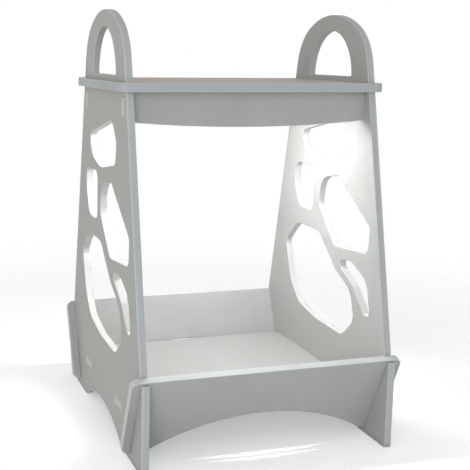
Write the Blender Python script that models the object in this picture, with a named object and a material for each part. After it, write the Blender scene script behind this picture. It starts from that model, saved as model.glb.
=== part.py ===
"""Plant stand with grow lights.

Eight boards slot together without screws. Two light bars hang under the top plate, between a front and
a rear valance. The rear valance carries a rocker switch and a low-voltage socket. The origin is on the
floor, under the middle of the stand: X is the width, -Y the front and +Z up.
"""
import math

import bmesh
import bpy
from mathutils import Vector

MM = 0.001
GAP = 0.3 * MM

# Boards
WIDTH = 350 * MM  # over the outer faces of the side panels
BOARD = 10 * MM  # side panels, valances, skirts and floor
PLATE_THICK = 12 * MM
PLATE_Z = 472 * MM  # underside of the top plate
PLATE_HALF_X = 185 * MM
PLATE_HALF_Y = 124 * MM
PLATE_CORNER = 12 * MM
EDGE_BREAK = 0.7 * MM

# Side panel: the front and rear edges lean, and a handle arch joins them at the top
PANEL_HALF_TOP = 116 * MM  # half depth at the underside of the plate
PANEL_HALF_LOW = 192 * MM  # half depth at the top of the skirts
APEX_Z = 578 * MM  # top of the handle
CROWN_RADIUS = 145 * MM  # middle arc of the handle's three
CROWN_TURN = math.radians(29)  # angle that the middle arc covers on each side
GRIP_RADIUS = 65 * MM  # the grip opening is a half disc
GRIP_CENTRE_Z = 490.5 * MM
GRIP_Z = 491.5 * MM  # its flat lower side
GRIP_CORNER = 3 * MM
FOOT_Y = 201.5 * MM
HORN_Z = 117.5 * MM  # top of the piece of foot that stands in front of the skirt
FOOT_ARCH_HALF = 104 * MM
FOOT_ARCH_RISE = 27 * MM

# Skirts: boards that lean outwards, half-lapped with the side panels
SKIRT_Y = 198.5 * MM  # outer face at its top edge
SKIRT_Z = 121 * MM
SKIRT_LEAN = math.radians(24)
SKIRT_DEEP = 122 * MM  # along the board
SKIRT_LAP = 61 * MM  # depth of the slot in the panel, along the board
SKIRT_HALF_X = 187 * MM
SKIRT_ARC_HALF = 155 * MM
SKIRT_ARC_TOP = 74 * MM  # depth of board left in the middle
SKIRT_CORNER = 9 * MM

# Valances
VALANCE_Y = 106 * MM  # outer face
VALANCE_END = 39 * MM
VALANCE_MIDDLE = 46 * MM
VALANCE_TENON = (440 * MM, 465 * MM)

# Floor
FLOOR_Z = 50 * MM
FLOOR_HALF_Y = 150 * MM
FLOOR_TENON = (68 * MM, 104 * MM)

# Rounded cells in the side panels, as (Y, Z) corners in millimetres, front at negative Y
CELL_RADIUS = 15 * MM
CELLS = {
    "upper": ((88, 401), (62, 369), (5, 358), (-66, 368), (-76, 404), (-48, 429)),
    "rear": ((28, 358), (94, 358), (110, 330), (80, 282), (30, 282)),
    "middle": ((6, 342), (-44, 350), (-137, 296), (-135, 251), (-38, 243), (19, 302)),
    "large": ((96, 257), (10, 257), (-42, 212), (-94, 182), (-108, 142), (-84, 117), (12, 117), (70, 136),
              (124, 226)),
    "lower_front": ((-38, 226), (-80, 236), (-136, 221), (-150, 160), (-130, 160), (-106, 198)),
}

# Light bars
BAR_Y = 45 * MM
BAR_HALF_X = 140 * MM  # over the end caps
BAR_CAP = 4 * MM
BAR_TOP_Z = 469 * MM
BAR_WIDE = 24 * MM
BAR_HIGH = 10 * MM
BAR_WALL = 1.5 * MM
DIFFUSER_WALL = 1.2 * MM
DIFFUSER_SAG = 4 * MM
CLIP_X = 100 * MM
CLIP_WIDE = 12 * MM
CLIP_THICK = 0.9 * MM
SCREW_HEAD = 1.2 * MM
PILOT_R = 1.8 * MM
LED_BOARD_WIDE = 16 * MM
LED_BOARD_HIGH = 1.4 * MM
CHIPS = 14
CHIP_SIZE = 3 * MM
CHIP_HIGH = 0.7 * MM
CABLE_R = 1.8 * MM
CABLE_Z = 464 * MM
CABLE_BEND = 16 * MM
CABLE_END = (0, 3.5 * MM, 6 * MM)  # straight run into a hole
LEAD_R = 0.8 * MM
SADDLE_WALL = 1.2 * MM
SADDLE_FOOT = 7 * MM

# Switch and socket in the rear valance, and the cover over their backs
SWITCH_X = -62 * MM
SOCKET_X = -88 * MM
SWITCH_Z = 450 * MM
SWITCH_HOLE = (13.2 * MM, 9.0 * MM)
SWITCH_BEZEL = (16 * MM, 11.5 * MM)
SWITCH_DEEP = 20 * MM
BEZEL_HIGH = 1.5 * MM
SWITCH_POCKET = (11.8 * MM, 16 * MM, 7.6 * MM)
ROCKER_R = 5.4 * MM
ROCKER_WIDE = 6.8 * MM
ROCKER_TILT = math.radians(10)  # at rest, switched off
SOCKET_R = 5.5 * MM
COVER_X = -75 * MM
COVER_SIZE = (62 * MM, 26 * MM, 26 * MM)
COVER_WALL = 1.6 * MM
COVER_CORNER = 3 * MM
COVER_EAR = 9 * MM
EAR_HIGH = 14 * MM
EAR_THICK = 1.8 * MM
COVER_PILOT_R = 1.3 * MM
COVER_CABLE = (82 * MM, 455 * MM)  # (Y, Z) of the cable where it leaves the cover


def clear_scene():
    """Removes whatever the scene holds."""
    for obj in list(bpy.data.objects):
        bpy.data.objects.remove(obj, do_unlink=True)


def material(name, colour, roughness, metallic=0.0):
    """A plain Principled material."""
    mat = bpy.data.materials.new(name)
    mat.use_nodes = True
    shader = mat.node_tree.nodes["Principled BSDF"]
    shader.inputs["Base Color"].default_value = (*colour, 1)
    shader.inputs["Roughness"].default_value = roughness
    shader.inputs["Metallic"].default_value = metallic
    return mat


def add(name, bm, mat, location=(0, 0, 0), rotation=(0, 0, 0)):
    """Turns a bmesh into a named object with its own material."""
    bmesh.ops.recalc_face_normals(bm, faces=bm.faces)
    mesh = bpy.data.meshes.new(name)
    bm.to_mesh(mesh)
    bm.free()
    mesh.materials.append(mat)
    mesh.shade_smooth()
    mesh.set_sharp_from_angle(angle=math.radians(35))
    obj = bpy.data.objects.new(name, mesh)
    obj.location = location
    obj.rotation_euler = rotation
    bpy.context.scene.collection.objects.link(obj)
    return obj


def bevel(obj, width):
    """Breaks the sharp edges of an object."""
    mod = obj.modifiers.new("edge_break", "BEVEL")
    mod.width = width
    mod.segments = 1
    mod.limit_method = "ANGLE"
    mod.angle_limit = math.radians(40)


def combine(obj, other, operation):
    """Cuts an object with another or joins the two. The other stays as a hidden guide."""
    other.hide_render = True
    other.display_type = "WIRE"
    mod = obj.modifiers.new(other.name, "BOOLEAN")
    mod.operation = operation
    mod.object = other


def arc(centre, radius, start, end, steps):
    """Points on a circle from one angle to another, both ends included."""
    return [
        Vector((centre[0] + radius * math.cos(t), centre[1] + radius * math.sin(t)))
        for t in (start + (end - start) * i / steps for i in range(steps + 1))
    ]


def rounded(corners, radius, steps=4):
    """A closed outline through the corners, each turned into an arc. A corner may carry its own radius."""
    points = []
    count = len(corners)
    for i, corner in enumerate(corners):
        here = Vector(corner[:2])
        before = Vector(corners[i - 1][:2]) - here
        after = Vector(corners[(i + 1) % count][:2]) - here
        size = corner[2] if len(corner) > 2 else radius
        if size <= 0:
            points.append(here)
            continue
        half = before.angle(after) / 2
        reach = min(size / math.tan(half), 0.49 * before.length, 0.49 * after.length)
        size = reach * math.tan(half)
        centre = here + (before.normalized() + after.normalized()).normalized() * (size / math.sin(half))
        first = here + before.normalized() * reach - centre
        last = here + after.normalized() * reach - centre
        start = math.atan2(first.y, first.x)
        turn = math.atan2(last.y, last.x) - start
        turn = (turn + math.pi) % (2 * math.pi) - math.pi
        points += arc(centre, size, start, start + turn, steps)
    return points


def circle(centre, radius, steps=24):
    """A closed circle."""
    return arc(centre, radius, 0, 2 * math.pi, steps)[:-1]


def mirrored(half):
    """Closes an outline given for positive X by its mirror image, running back up the other side."""
    return half + [Vector((-p[0], p[1])) for p in reversed(half) if abs(p[0]) > 1e-7]


def slab(outline, holes, low, high):
    """A flat solid: an outline with holes, filled and extruded from one height to another."""
    bm = bmesh.new()
    edges = []
    for loop in [outline, *holes]:
        verts = [bm.verts.new((p[0], p[1], low)) for p in loop]
        edges += [bm.edges.new((v, verts[(i + 1) % len(verts)])) for i, v in enumerate(verts)]
    if holes:
        bmesh.ops.triangle_fill(bm, edges=edges, use_beauty=True)
    else:
        bmesh.ops.contextual_create(bm, geom=edges)
    grown = bmesh.ops.extrude_face_region(bm, geom=list(bm.faces))
    top = [item for item in grown["geom"] if isinstance(item, bmesh.types.BMVert)]
    bmesh.ops.translate(bm, verts=top, vec=(0, 0, high - low))
    return bm


def box(size, centre=(0, 0, 0)):
    """A plain block."""
    bm = bmesh.new()
    bmesh.ops.create_cube(bm, size=1)
    bmesh.ops.scale(bm, vec=size, verts=bm.verts)
    bmesh.ops.translate(bm, vec=centre, verts=bm.verts)
    return bm


def turned(profile, steps=24):
    """A solid turned about Z. The profile runs from the axis round to the axis, as (radius, height)."""
    bm = bmesh.new()
    verts = [bm.verts.new((r, 0, z)) for r, z in profile]
    edges = [bm.edges.new(pair) for pair in zip(verts, verts[1:])]
    bmesh.ops.spin(bm, geom=verts + edges, axis=(0, 0, 1), cent=(0, 0, 0), steps=steps,
                   angle=2 * math.pi, use_merge=True)
    bmesh.ops.remove_doubles(bm, verts=bm.verts, dist=1e-6)
    return bm


def peg(name, radius, low, high, mat, location, rotation=(0, 0, 0)):
    """A round cutter about Z, from one height to another."""
    profile = [(0, low), (radius, low), (radius, high), (0, high)]
    return add(name, turned(profile, 16), mat, location, rotation)


def tube(name, route, radius, mat):
    """A cable: a smooth curve through the route's points, with a round section and filled ends."""
    points = smooth_route([Vector(p) for p in route])
    curve = bpy.data.curves.new(name, "CURVE")
    curve.dimensions = "3D"
    curve.bevel_depth = radius
    curve.bevel_resolution = 2
    curve.use_fill_caps = True
    spline = curve.splines.new("POLY")
    spline.points.add(len(points) - 1)
    for point, place in zip(spline.points, points):
        point.co = (*place, 1)
    curve.materials.append(mat)
    bpy.context.scene.collection.objects.link(bpy.data.objects.new(name, curve))


def smooth_route(knots, spacing=4 * MM):
    """Points along a Catmull-Rom curve through the knots."""
    ends = [2 * knots[0] - knots[1], *knots, 2 * knots[-1] - knots[-2]]
    points = []
    for a, b, c, d in zip(ends, ends[1:], ends[2:], ends[3:]):
        steps = max(1, round((c - b).length / spacing))
        for i in range(steps):
            t = i / steps
            points.append(0.5 * (2 * b + (c - a) * t + (2 * a - 5 * b + 4 * c - d) * t ** 2
                                 + (3 * b - a - 3 * c + d) * t ** 3))
    return [*points, knots[-1]]


def panel_half(z):
    """Half depth of a side panel at a height, on its straight leaning edges."""
    return PANEL_HALF_TOP + (PANEL_HALF_LOW - PANEL_HALF_TOP) * (PLATE_Z - z) / (PLATE_Z - SKIRT_Z)


def skirt_point(down, out=0.0):
    """(Y, Z) on the rear skirt, from a distance down the board and a distance out from its outer face."""
    return Vector((
        SKIRT_Y - down * math.sin(SKIRT_LEAN) + out * math.cos(SKIRT_LEAN),
        SKIRT_Z - down * math.cos(SKIRT_LEAN) - out * math.sin(SKIRT_LEAN),
    ))


def slot_wall_top():
    """Where the inner wall of the skirt's slot runs out through the panel's leaning edge."""
    slope = (PANEL_HALF_LOW - PANEL_HALF_TOP) / (PLATE_Z - SKIRT_Z)
    wall = skirt_point(0, -BOARD - GAP)
    rise = (panel_half(wall.y) - wall.x) / (math.tan(SKIRT_LEAN) + slope)
    return Vector((wall.x + rise * math.tan(SKIRT_LEAN), wall.y + rise))


def panel_outline():
    """The rear half of the side panel's outline in (Y, Z).

    It runs from the middle of the foot arch round the foot and the skirt's slot up to the top of the handle.
    """
    radius = (FOOT_ARCH_HALF ** 2 + FOOT_ARCH_RISE ** 2) / (2 * FOOT_ARCH_RISE)
    sweep = math.asin(FOOT_ARCH_HALF / radius)
    half = arc((0, FOOT_ARCH_RISE - radius), radius, math.pi / 2, math.pi / 2 - sweep, 12)
    horn_inner = skirt_point((SKIRT_Z - HORN_Z) / math.cos(SKIRT_LEAN), GAP)
    half += arc((FOOT_Y - 2 * MM, 2 * MM), 2 * MM, -math.pi / 2, 0, 3)
    half += arc((FOOT_Y - 1.5 * MM, HORN_Z - 1.5 * MM), 1.5 * MM, 0, math.pi / 2, 3)
    half += [horn_inner, skirt_point(SKIRT_LAP + GAP, GAP), skirt_point(SKIRT_LAP + GAP, -BOARD - GAP)]
    half.append(slot_wall_top())
    lean = math.atan2(PANEL_HALF_LOW - PANEL_HALF_TOP, PLATE_Z - SKIRT_Z)
    # The handle is a three-centred arch: the shoulder arc touches the leaning side and the crown's arc
    side = PANEL_HALF_TOP * math.cos(lean) + PLATE_Z * math.sin(lean)
    meet = math.sin(CROWN_TURN + lean)
    crown_z = APEX_Z - CROWN_RADIUS
    shoulder = (side - crown_z * math.sin(lean) - CROWN_RADIUS * meet) / (1 - meet)
    inset = CROWN_RADIUS - shoulder
    centre = (inset * math.sin(CROWN_TURN), crown_z + inset * math.cos(CROWN_TURN))
    half += arc(centre, shoulder, lean, math.pi / 2 - CROWN_TURN, 9)
    half += arc((0, crown_z), CROWN_RADIUS, math.pi / 2 - CROWN_TURN, math.pi / 2, 5)[1:]
    return half


def grip_outline():
    """The grip opening: a half disc, closed by a flat lower side with slightly rounded corners."""
    start = math.asin((GRIP_Z + GRIP_CORNER - GRIP_CENTRE_Z) / (GRIP_RADIUS - GRIP_CORNER))
    reach = (GRIP_RADIUS - GRIP_CORNER) * math.cos(start)
    half = arc((reach, GRIP_Z + GRIP_CORNER), GRIP_CORNER, -math.pi / 2, start, 4)
    half += arc((0, GRIP_CENTRE_Z), GRIP_RADIUS, start, math.pi / 2, 12)[1:]
    return mirrored(half)


def rectangle(x0, x1, y0, y1):
    """A closed rectangle."""
    return [Vector(p) for p in ((x0, y0), (x1, y0), (x1, y1), (x0, y1))]


def build_side_panels(mat):
    """Two equal panels. The outline is drawn in (Y, Z) and extruded along X."""
    outline = mirrored(panel_outline())
    holes = [rounded([(y * MM, z * MM) for y, z in cell], CELL_RADIUS) for cell in CELLS.values()]
    holes.append(grip_outline())
    for side in (-1, 1):
        y0, y1 = sorted((side * (VALANCE_Y - BOARD), side * VALANCE_Y))
        holes.append(rectangle(y0 - GAP, y1 + GAP, VALANCE_TENON[0] - GAP, VALANCE_TENON[1] + GAP))
        y0, y1 = sorted((side * FLOOR_TENON[0], side * FLOOR_TENON[1]))
        holes.append(rectangle(y0 - GAP, y1 + GAP, FLOOR_Z - GAP, FLOOR_Z + BOARD + GAP))
    for name, x in (("left_side_panel", -WIDTH / 2), ("right_side_panel", WIDTH / 2 - BOARD)):
        panel = add(name, slab(outline, holes, 0, BOARD), mat, (x, 0, 0), (math.pi / 2, 0, math.pi / 2))
        bevel(panel, EDGE_BREAK)


def build_top_plate(mat):
    """The plate, its two slots for the handles, and blind pilot holes for the clip screws."""
    corners = rectangle(-PLATE_HALF_X, PLATE_HALF_X, -PLATE_HALF_Y, PLATE_HALF_Y)
    slots = []
    reach = panel_half(PLATE_Z) + GAP
    for x in (-WIDTH / 2, WIDTH / 2 - BOARD):
        slots.append(rectangle(x - GAP, x + BOARD + GAP, -reach, reach))
    outline = rounded(corners, PLATE_CORNER, 6)
    plate = add("top_plate", slab(outline, slots, 0, PLATE_THICK), mat, (0, 0, PLATE_Z))
    bevel(plate, EDGE_BREAK)
    for side_y, row in ((-1, "front"), (1, "rear")):
        for side_x, end in ((-1, "left"), (1, "right")):
            place = (side_x * CLIP_X, side_y * BAR_Y, PLATE_Z)
            combine(plate, peg(f"pilot_{row}_{end}", PILOT_R, -1 * MM, 8 * MM, mat, place), "DIFFERENCE")


def build_valances(mat):
    """The valances hang under the plate. Their tenons come out flush with the panels' outer faces."""
    inner = WIDTH / 2 - BOARD - GAP
    bulge = VALANCE_MIDDLE - VALANCE_END
    radius = (inner ** 2 + bulge ** 2) / (2 * bulge)
    sweep = math.asin(inner / radius)
    low, high = VALANCE_TENON
    top = PLATE_Z - GAP
    half = arc((0, PLATE_Z - VALANCE_MIDDLE + radius), radius, -math.pi / 2, -math.pi / 2 + sweep, 12)
    half += rectangle(inner, WIDTH / 2, low, high)
    half += [Vector((inner, top)), Vector((0, top))]
    outline = mirrored(half)
    upright = (math.pi / 2, 0, 0)
    front = add("front_valance", slab(outline, [], 0, BOARD), mat, (0, -VALANCE_Y + BOARD, 0), upright)
    half_x, half_z = SWITCH_HOLE[0] / 2 + GAP, SWITCH_HOLE[1] / 2 + GAP
    holes = [rectangle(SWITCH_X - half_x, SWITCH_X + half_x, SWITCH_Z - half_z, SWITCH_Z + half_z)]
    holes.append(circle((SOCKET_X, SWITCH_Z), SOCKET_R + GAP))
    rear = add("rear_valance", slab(outline, holes, 0, BOARD), mat, (0, VALANCE_Y, 0), upright)
    for board in (front, rear):
        bevel(board, EDGE_BREAK)
    for side, end in ((-1, "left"), (1, "right")):
        place = (COVER_X + side * (COVER_SIZE[0] + COVER_EAR) / 2, VALANCE_Y - BOARD, SWITCH_Z)
        pilot = peg(f"pilot_cover_{end}", COVER_PILOT_R, -1 * MM, 7 * MM, mat, place, (-math.pi / 2, 0, 0))
        combine(rear, pilot, "DIFFERENCE")


def build_floor(mat):
    """The floor board, with two tenons at each end."""
    inner = WIDTH / 2 - BOARD - GAP
    near, far = FLOOR_TENON
    corner = 4 * MM
    half = [Vector((0, -FLOOR_HALF_Y))]
    half += arc((inner - corner, -FLOOR_HALF_Y + corner), corner, -math.pi / 2, 0, 3)
    half += rectangle(inner, WIDTH / 2, -far, -near) + rectangle(inner, WIDTH / 2, near, far)
    half += arc((inner - corner, FLOOR_HALF_Y - corner), corner, 0, math.pi / 2, 3)
    half.append(Vector((0, FLOOR_HALF_Y)))
    floor = add("shelf_floor", slab(mirrored(half), [], 0, BOARD), mat, (0, 0, FLOOR_Z))
    bevel(floor, EDGE_BREAK)


def build_skirts(mat):
    """Front and rear skirts, drawn with their top edge at height 0 and notched from below for the panels."""
    rise = SKIRT_DEEP - SKIRT_ARC_TOP
    radius = (SKIRT_ARC_HALF ** 2 + rise ** 2) / (2 * rise)
    sweep = math.asin(SKIRT_ARC_HALF / radius)
    inner, outer = WIDTH / 2 - BOARD - GAP, WIDTH / 2 + GAP
    end, corner = SKIRT_HALF_X, SKIRT_CORNER
    half = arc((0, -SKIRT_ARC_TOP - radius), radius, math.pi / 2, math.pi / 2 - sweep, 16)
    half += [Vector((inner, -SKIRT_DEEP)), Vector((inner, -SKIRT_LAP))]
    half += [Vector((outer, -SKIRT_LAP)), Vector((outer, -SKIRT_DEEP))]
    half += arc((end - corner, -SKIRT_DEEP + corner), corner, -math.pi / 2, 0, 5)
    half += arc((end - corner, -corner), corner, 0, math.pi / 2, 5)
    half.append(Vector((0, 0)))
    outline = mirrored(half)
    for name, side, turn in (("front_skirt", -1, 0), ("rear_skirt", 1, math.pi)):
        skirt = add(name, slab(outline, [], -BOARD, 0), mat, (0, side * SKIRT_Y, SKIRT_Z),
                    (math.pi / 2 + SKIRT_LEAN, 0, turn))
        bevel(skirt, EDGE_BREAK)


def channel_profile():
    """Section of the light channel in (across, up): a U that opens downwards, with a groove in each side."""
    half, wall = BAR_WIDE / 2, BAR_WALL
    groove = 0.7 * MM
    points = [
        (half, 0), (half, -3 * MM), (half - groove, -3 * MM), (half - groove, -5.5 * MM), (half, -5.5 * MM),
        (half, -BAR_HIGH), (half - wall, -BAR_HIGH), (half - wall, -6.5 * MM), (half - 2 * wall, -6.5 * MM),
        (half - 2 * wall, -5.5 * MM), (half - wall - groove, -5.5 * MM), (half - wall - groove, -wall),
    ]
    return mirrored([Vector(p) for p in points])


def diffuser_profile():
    """Section of the milky cover: a shallow bow with two upright legs that stand in the channel."""
    half = BAR_WIDE / 2 - BAR_WALL - GAP
    radius = (half ** 2 + DIFFUSER_SAG ** 2) / (2 * DIFFUSER_SAG)
    sweep = math.asin(half / radius)
    centre = (0, -BAR_HIGH - DIFFUSER_SAG + radius)
    outer = arc(centre, radius, -math.pi / 2, -math.pi / 2 + sweep, 6)
    inner = arc(centre, radius - DIFFUSER_WALL, -math.pi / 2 + sweep * 0.86, -math.pi / 2, 6)
    legs = [Vector((half, -6.8 * MM)), Vector((half - DIFFUSER_WALL, -6.8 * MM))]
    right = outer + legs + inner
    return right + [Vector((-p.x, p.y)) for p in reversed(right[1:-1])]


def cap_profile():
    """Outline of an end cap: the channel and the diffuser together."""
    half = BAR_WIDE / 2
    sag = DIFFUSER_SAG + 0.4 * MM
    radius = (half ** 2 + sag ** 2) / (2 * sag)
    sweep = math.asin(half / radius)
    right = arc((0, -BAR_HIGH - sag + radius), radius, -math.pi / 2, -math.pi / 2 + sweep, 6)
    right += arc((half - 1 * MM, -0.5 * MM), 1 * MM, 0, math.pi / 2, 2)
    return mirrored(right)


def clip_profile():
    """Section of the spring clip: a flat back, two arms and their hooks in the channel's grooves."""
    half = BAR_WIDE / 2 + GAP
    thick = CLIP_THICK
    top = PLATE_Z - GAP - BAR_TOP_Z
    points = [
        (0, top), (half + thick, top), (half + thick, -5.1 * MM), (half - 0.5 * MM, -5.1 * MM),
        (half - 0.5 * MM, -4.4 * MM), (half, -4.0 * MM), (half, top - thick), (0, top - thick),
    ]
    return mirrored([Vector(p) for p in points])


ALONG_X = (math.pi / 2, 0, math.pi / 2)  # turns a section in (across, up) to run along X


def build_bar(row, y, mats):
    """One light bar with its clips, caps and board."""
    end_x = BAR_HALF_X - BAR_CAP - GAP
    place = (0, y, BAR_TOP_Z)
    parts = (("channel", channel_profile(), "aluminium"), ("diffuser", diffuser_profile(), "diffuser"))
    for name, profile, finish in parts:
        add(f"light_{name}_{row}", slab(profile, [], -end_x, end_x), mats[finish], place, ALONG_X)
    board_z = BAR_TOP_Z - BAR_WALL - GAP - LED_BOARD_HIGH
    add(f"led_board_{row}", led_board(2 * end_x - 8 * MM), mats["led_board"], (0, y, board_z))
    for side, end in ((-1, "left"), (1, "right")):
        build_cap(row, end, side, y, mats)
        x = side * CLIP_X
        clip = add(f"light_clip_{row}_{end}", slab(clip_profile(), [], -CLIP_WIDE / 2, CLIP_WIDE / 2),
                   mats["clip"], (x, y, BAR_TOP_Z), ALONG_X)
        bore = peg(f"clip_bore_{row}_{end}", PILOT_R, -3 * MM, 3 * MM, mats["clip"], (x, y, PLATE_Z))
        combine(clip, bore, "DIFFERENCE")
        add(f"clip_screw_{row}_{end}", screw(1.5 * MM, 7.5 * MM, 3 * MM), mats["screw"],
            (x, y, PLATE_Z - 2 * GAP - CLIP_THICK - SCREW_HEAD))


def led_board(length):
    """A strip board whose chips stand out of its lower side."""
    pitch = length / CHIPS
    cuts = [-length / 2]
    for i in range(CHIPS):
        middle = -length / 2 + pitch * (i + 0.5)
        cuts += [middle - CHIP_SIZE / 2, middle + CHIP_SIZE / 2]
    cuts.append(length / 2)
    rows = [-LED_BOARD_WIDE / 2, -CHIP_SIZE / 2, CHIP_SIZE / 2, LED_BOARD_WIDE / 2]
    bm = bmesh.new()
    grid = [[bm.verts.new((x, y, 0)) for y in rows] for x in cuts]
    chips = []
    for i in range(len(cuts) - 1):
        for j in range(3):
            face = bm.faces.new((grid[i][j], grid[i][j + 1], grid[i + 1][j + 1], grid[i + 1][j]))
            if i % 2 == 1 and j == 1:
                chips.append(face)
    rim = bmesh.ops.extrude_face_region(bm, geom=list(bm.faces), use_keep_orig=True)
    top = [item for item in rim["geom"] if isinstance(item, bmesh.types.BMVert)]
    bmesh.ops.translate(bm, verts=top, vec=(0, 0, LED_BOARD_HIGH))
    for face in chips:
        raised = bmesh.ops.extrude_face_region(bm, geom=[face])
        verts = [item for item in raised["geom"] if isinstance(item, bmesh.types.BMVert)]
        bmesh.ops.translate(bm, verts=verts, vec=(0, 0, -CHIP_HIGH))
    bmesh.ops.delete(bm, geom=[f for f in chips if f.is_valid], context="FACES_ONLY")
    return bm


def screw(core, length, head):
    """A pan-head screw standing on its head, point up."""
    cone = 1.5 * MM
    top = SCREW_HEAD + length
    return turned([(0, 0), (head * 0.7, 0), (head, SCREW_HEAD * 0.5), (head, SCREW_HEAD), (core, SCREW_HEAD),
                   (core, top - cone), (0.3 * MM, top), (0, top)], 16)


def build_cap(row, end, side, y, mats):
    """An end cap. The caps that a cable enters have a hole for it."""
    wired = end == "right" or row == "rear"
    holes = [circle((0, CABLE_Z - BAR_TOP_Z), CABLE_R + GAP, 12)] if wired else []
    x = side * BAR_HALF_X - (BAR_CAP if side > 0 else 0)
    cap = slab(cap_profile(), holes, 0, BAR_CAP)
    add(f"light_end_cap_{row}_{end}", cap, mats["cap"], (x, y, BAR_TOP_Z), ALONG_X)


def build_cables(mats):
    """The link between the bars, the supply from the cover, and the saddle that holds the link."""
    x, z = BAR_HALF_X - 3 * MM, CABLE_Z
    link = [(x + step, -BAR_Y, z) for step in CABLE_END]
    link += [(x + CABLE_BEND, y, z) for y in (12 * MM - BAR_Y, -12 * MM, 12 * MM, BAR_Y - 12 * MM)]
    link += [(x + step, BAR_Y, z) for step in reversed(CABLE_END)]
    tube("link_cable", link, CABLE_R, mats["cable"])
    left = COVER_X - COVER_SIZE[0] / 2 + 3 * MM
    cover_y, cover_z = COVER_CABLE
    supply = [(left - step, cover_y, cover_z) for step in CABLE_END]
    supply += [(-x + 4 * MM, cover_y - 2 * MM, (cover_z + z) / 2), (-x - CABLE_BEND, BAR_Y + 16 * MM, z)]
    supply += [(-x - step, BAR_Y, z) for step in reversed(CABLE_END)]
    tube("supply_cable", supply, CABLE_R, mats["cable"])
    top = PLATE_Z - GAP - z
    reach = CABLE_R + GAP
    outer = reach + SADDLE_WALL
    outline = arc((0, 0), outer, -math.pi, 0, 8)
    outline += [Vector((outer, top - SADDLE_WALL)), Vector((SADDLE_FOOT, top - SADDLE_WALL))]
    outline += [Vector((SADDLE_FOOT, top)), Vector((-SADDLE_FOOT, top))]
    outline += [Vector((-SADDLE_FOOT, top - SADDLE_WALL)), Vector((-outer, top - SADDLE_WALL))]
    hole = arc((0, 0), reach, 0, -math.pi, 8) + [Vector((-reach, reach)), Vector((reach, reach))]
    saddle = slab(outline, [hole], -4 * MM, 4 * MM)
    add("cable_saddle", saddle, mats["cap"], (x + CABLE_BEND, 0, z), (math.pi / 2, 0, 0))


def build_switch(mats):
    """The rocker switch: a housing in the valance and a button that rocks about a vertical axis."""
    hole_x, hole_z = SWITCH_HOLE
    bezel_x, bezel_z = SWITCH_BEZEL
    seat = (SWITCH_X, VALANCE_Y + GAP, SWITCH_Z)
    barrel = box((hole_x, SWITCH_DEEP, hole_z), (0, -SWITCH_DEEP / 2, 0))
    body = add("switch_housing", barrel, mats["switch"], seat)
    bevel(body, 0.5 * MM)
    flange = box((bezel_x, BEZEL_HIGH, bezel_z), (0, BEZEL_HIGH / 2, 0))
    combine(body, add("switch_flange", flange, mats["switch"], seat), "UNION")
    face = (SWITCH_X, VALANCE_Y + GAP + BEZEL_HIGH, SWITCH_Z)
    combine(body, add("switch_pocket", box(SWITCH_POCKET), mats["switch"], face), "DIFFERENCE")
    lift, crest = 3.2 * MM, 2.0 * MM
    right = [Vector((ROCKER_R, 0.6 * MM)), Vector((ROCKER_R - 0.3 * MM, lift)), Vector((0, crest))]
    left = [Vector((-p.x, p.y)) for p in reversed(right[:2])]
    outline = arc((0, 0), ROCKER_R, math.pi, 2 * math.pi, 12) + right + left
    button = add("rocker_button", slab(outline, [], -ROCKER_WIDE / 2, ROCKER_WIDE / 2), mats["button"],
                 (SWITCH_X, VALANCE_Y, SWITCH_Z), (0, 0, -ROCKER_TILT))
    bevel(button, 0.3 * MM)


def build_socket(mats):
    """The power socket: a round barrel through the valance, a flange outside and a nut inside."""
    flange_r, bore_r = 7 * MM, 3.2 * MM
    profile = [(0, -14 * MM), (SOCKET_R, -14 * MM), (SOCKET_R, 0), (flange_r, 0), (flange_r, 1.2 * MM),
               (flange_r - 0.8 * MM, 2 * MM), (bore_r, 2 * MM), (bore_r, -9 * MM), (1.0 * MM, -9 * MM),
               (1.0 * MM, -0.5 * MM), (0, -0.5 * MM)]
    outward = (-math.pi / 2, 0, 0)
    add("power_socket", turned(profile), mats["switch"], (SOCKET_X, VALANCE_Y + GAP, SWITCH_Z), outward)
    nut = slab(circle((0, 0), 8 * MM, 6), [circle((0, 0), SOCKET_R + GAP, 24)], 0, 2.4 * MM)
    add("socket_nut", nut, mats["screw"], (SOCKET_X, VALANCE_Y - BOARD - GAP, SWITCH_Z), (math.pi / 2, 0, 0))


def build_cover(mats):
    """The box over the backs of the switch and socket, with an ear and a screw at each end."""
    wide, deep, high = COVER_SIZE
    back = VALANCE_Y - BOARD - GAP
    place, inward, outward = (COVER_X, back, SWITCH_Z), (math.pi / 2, 0, 0), (-math.pi / 2, 0, 0)
    ear = wide / 2 + COVER_EAR
    outline = rounded(rectangle(-ear, ear, -EAR_HIGH / 2, EAR_HIGH / 2), COVER_CORNER)
    cover = add("wiring_cover", slab(outline, [], 0, EAR_THICK), mats["cover"], place, inward)
    outline = rounded(rectangle(-wide / 2, wide / 2, -high / 2, high / 2), COVER_CORNER)
    combine(cover, add("cover_shell", slab(outline, [], 0, deep), mats["cover"], place, inward), "UNION")
    half_x, half_z = wide / 2 - COVER_WALL, high / 2 - COVER_WALL
    hollow = slab(rectangle(-half_x, half_x, -half_z, half_z), [], -1 * MM, deep - COVER_WALL)
    combine(cover, add("cover_hollow", hollow, mats["cover"], place, inward), "DIFFERENCE")
    bore = peg("cover_cable_bore", CABLE_R + GAP, -4 * MM, 4 * MM, mats["cover"],
               (COVER_X - wide / 2, *COVER_CABLE), (0, math.pi / 2, 0))
    combine(cover, bore, "DIFFERENCE")
    for side, end in ((-1, "left"), (1, "right")):
        x = COVER_X + side * (wide + COVER_EAR) / 2
        ear_middle = (x, back, SWITCH_Z)
        bore = peg(f"cover_bore_{end}", COVER_PILOT_R, -4 * MM, 4 * MM, mats["cover"], ear_middle, outward)
        combine(cover, bore, "DIFFERENCE")
        add(f"cover_screw_{end}", screw(1.0 * MM, 7 * MM, 2.4 * MM), mats["screw"],
            (x, back - EAR_THICK - GAP - SCREW_HEAD, SWITCH_Z), outward)


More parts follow.
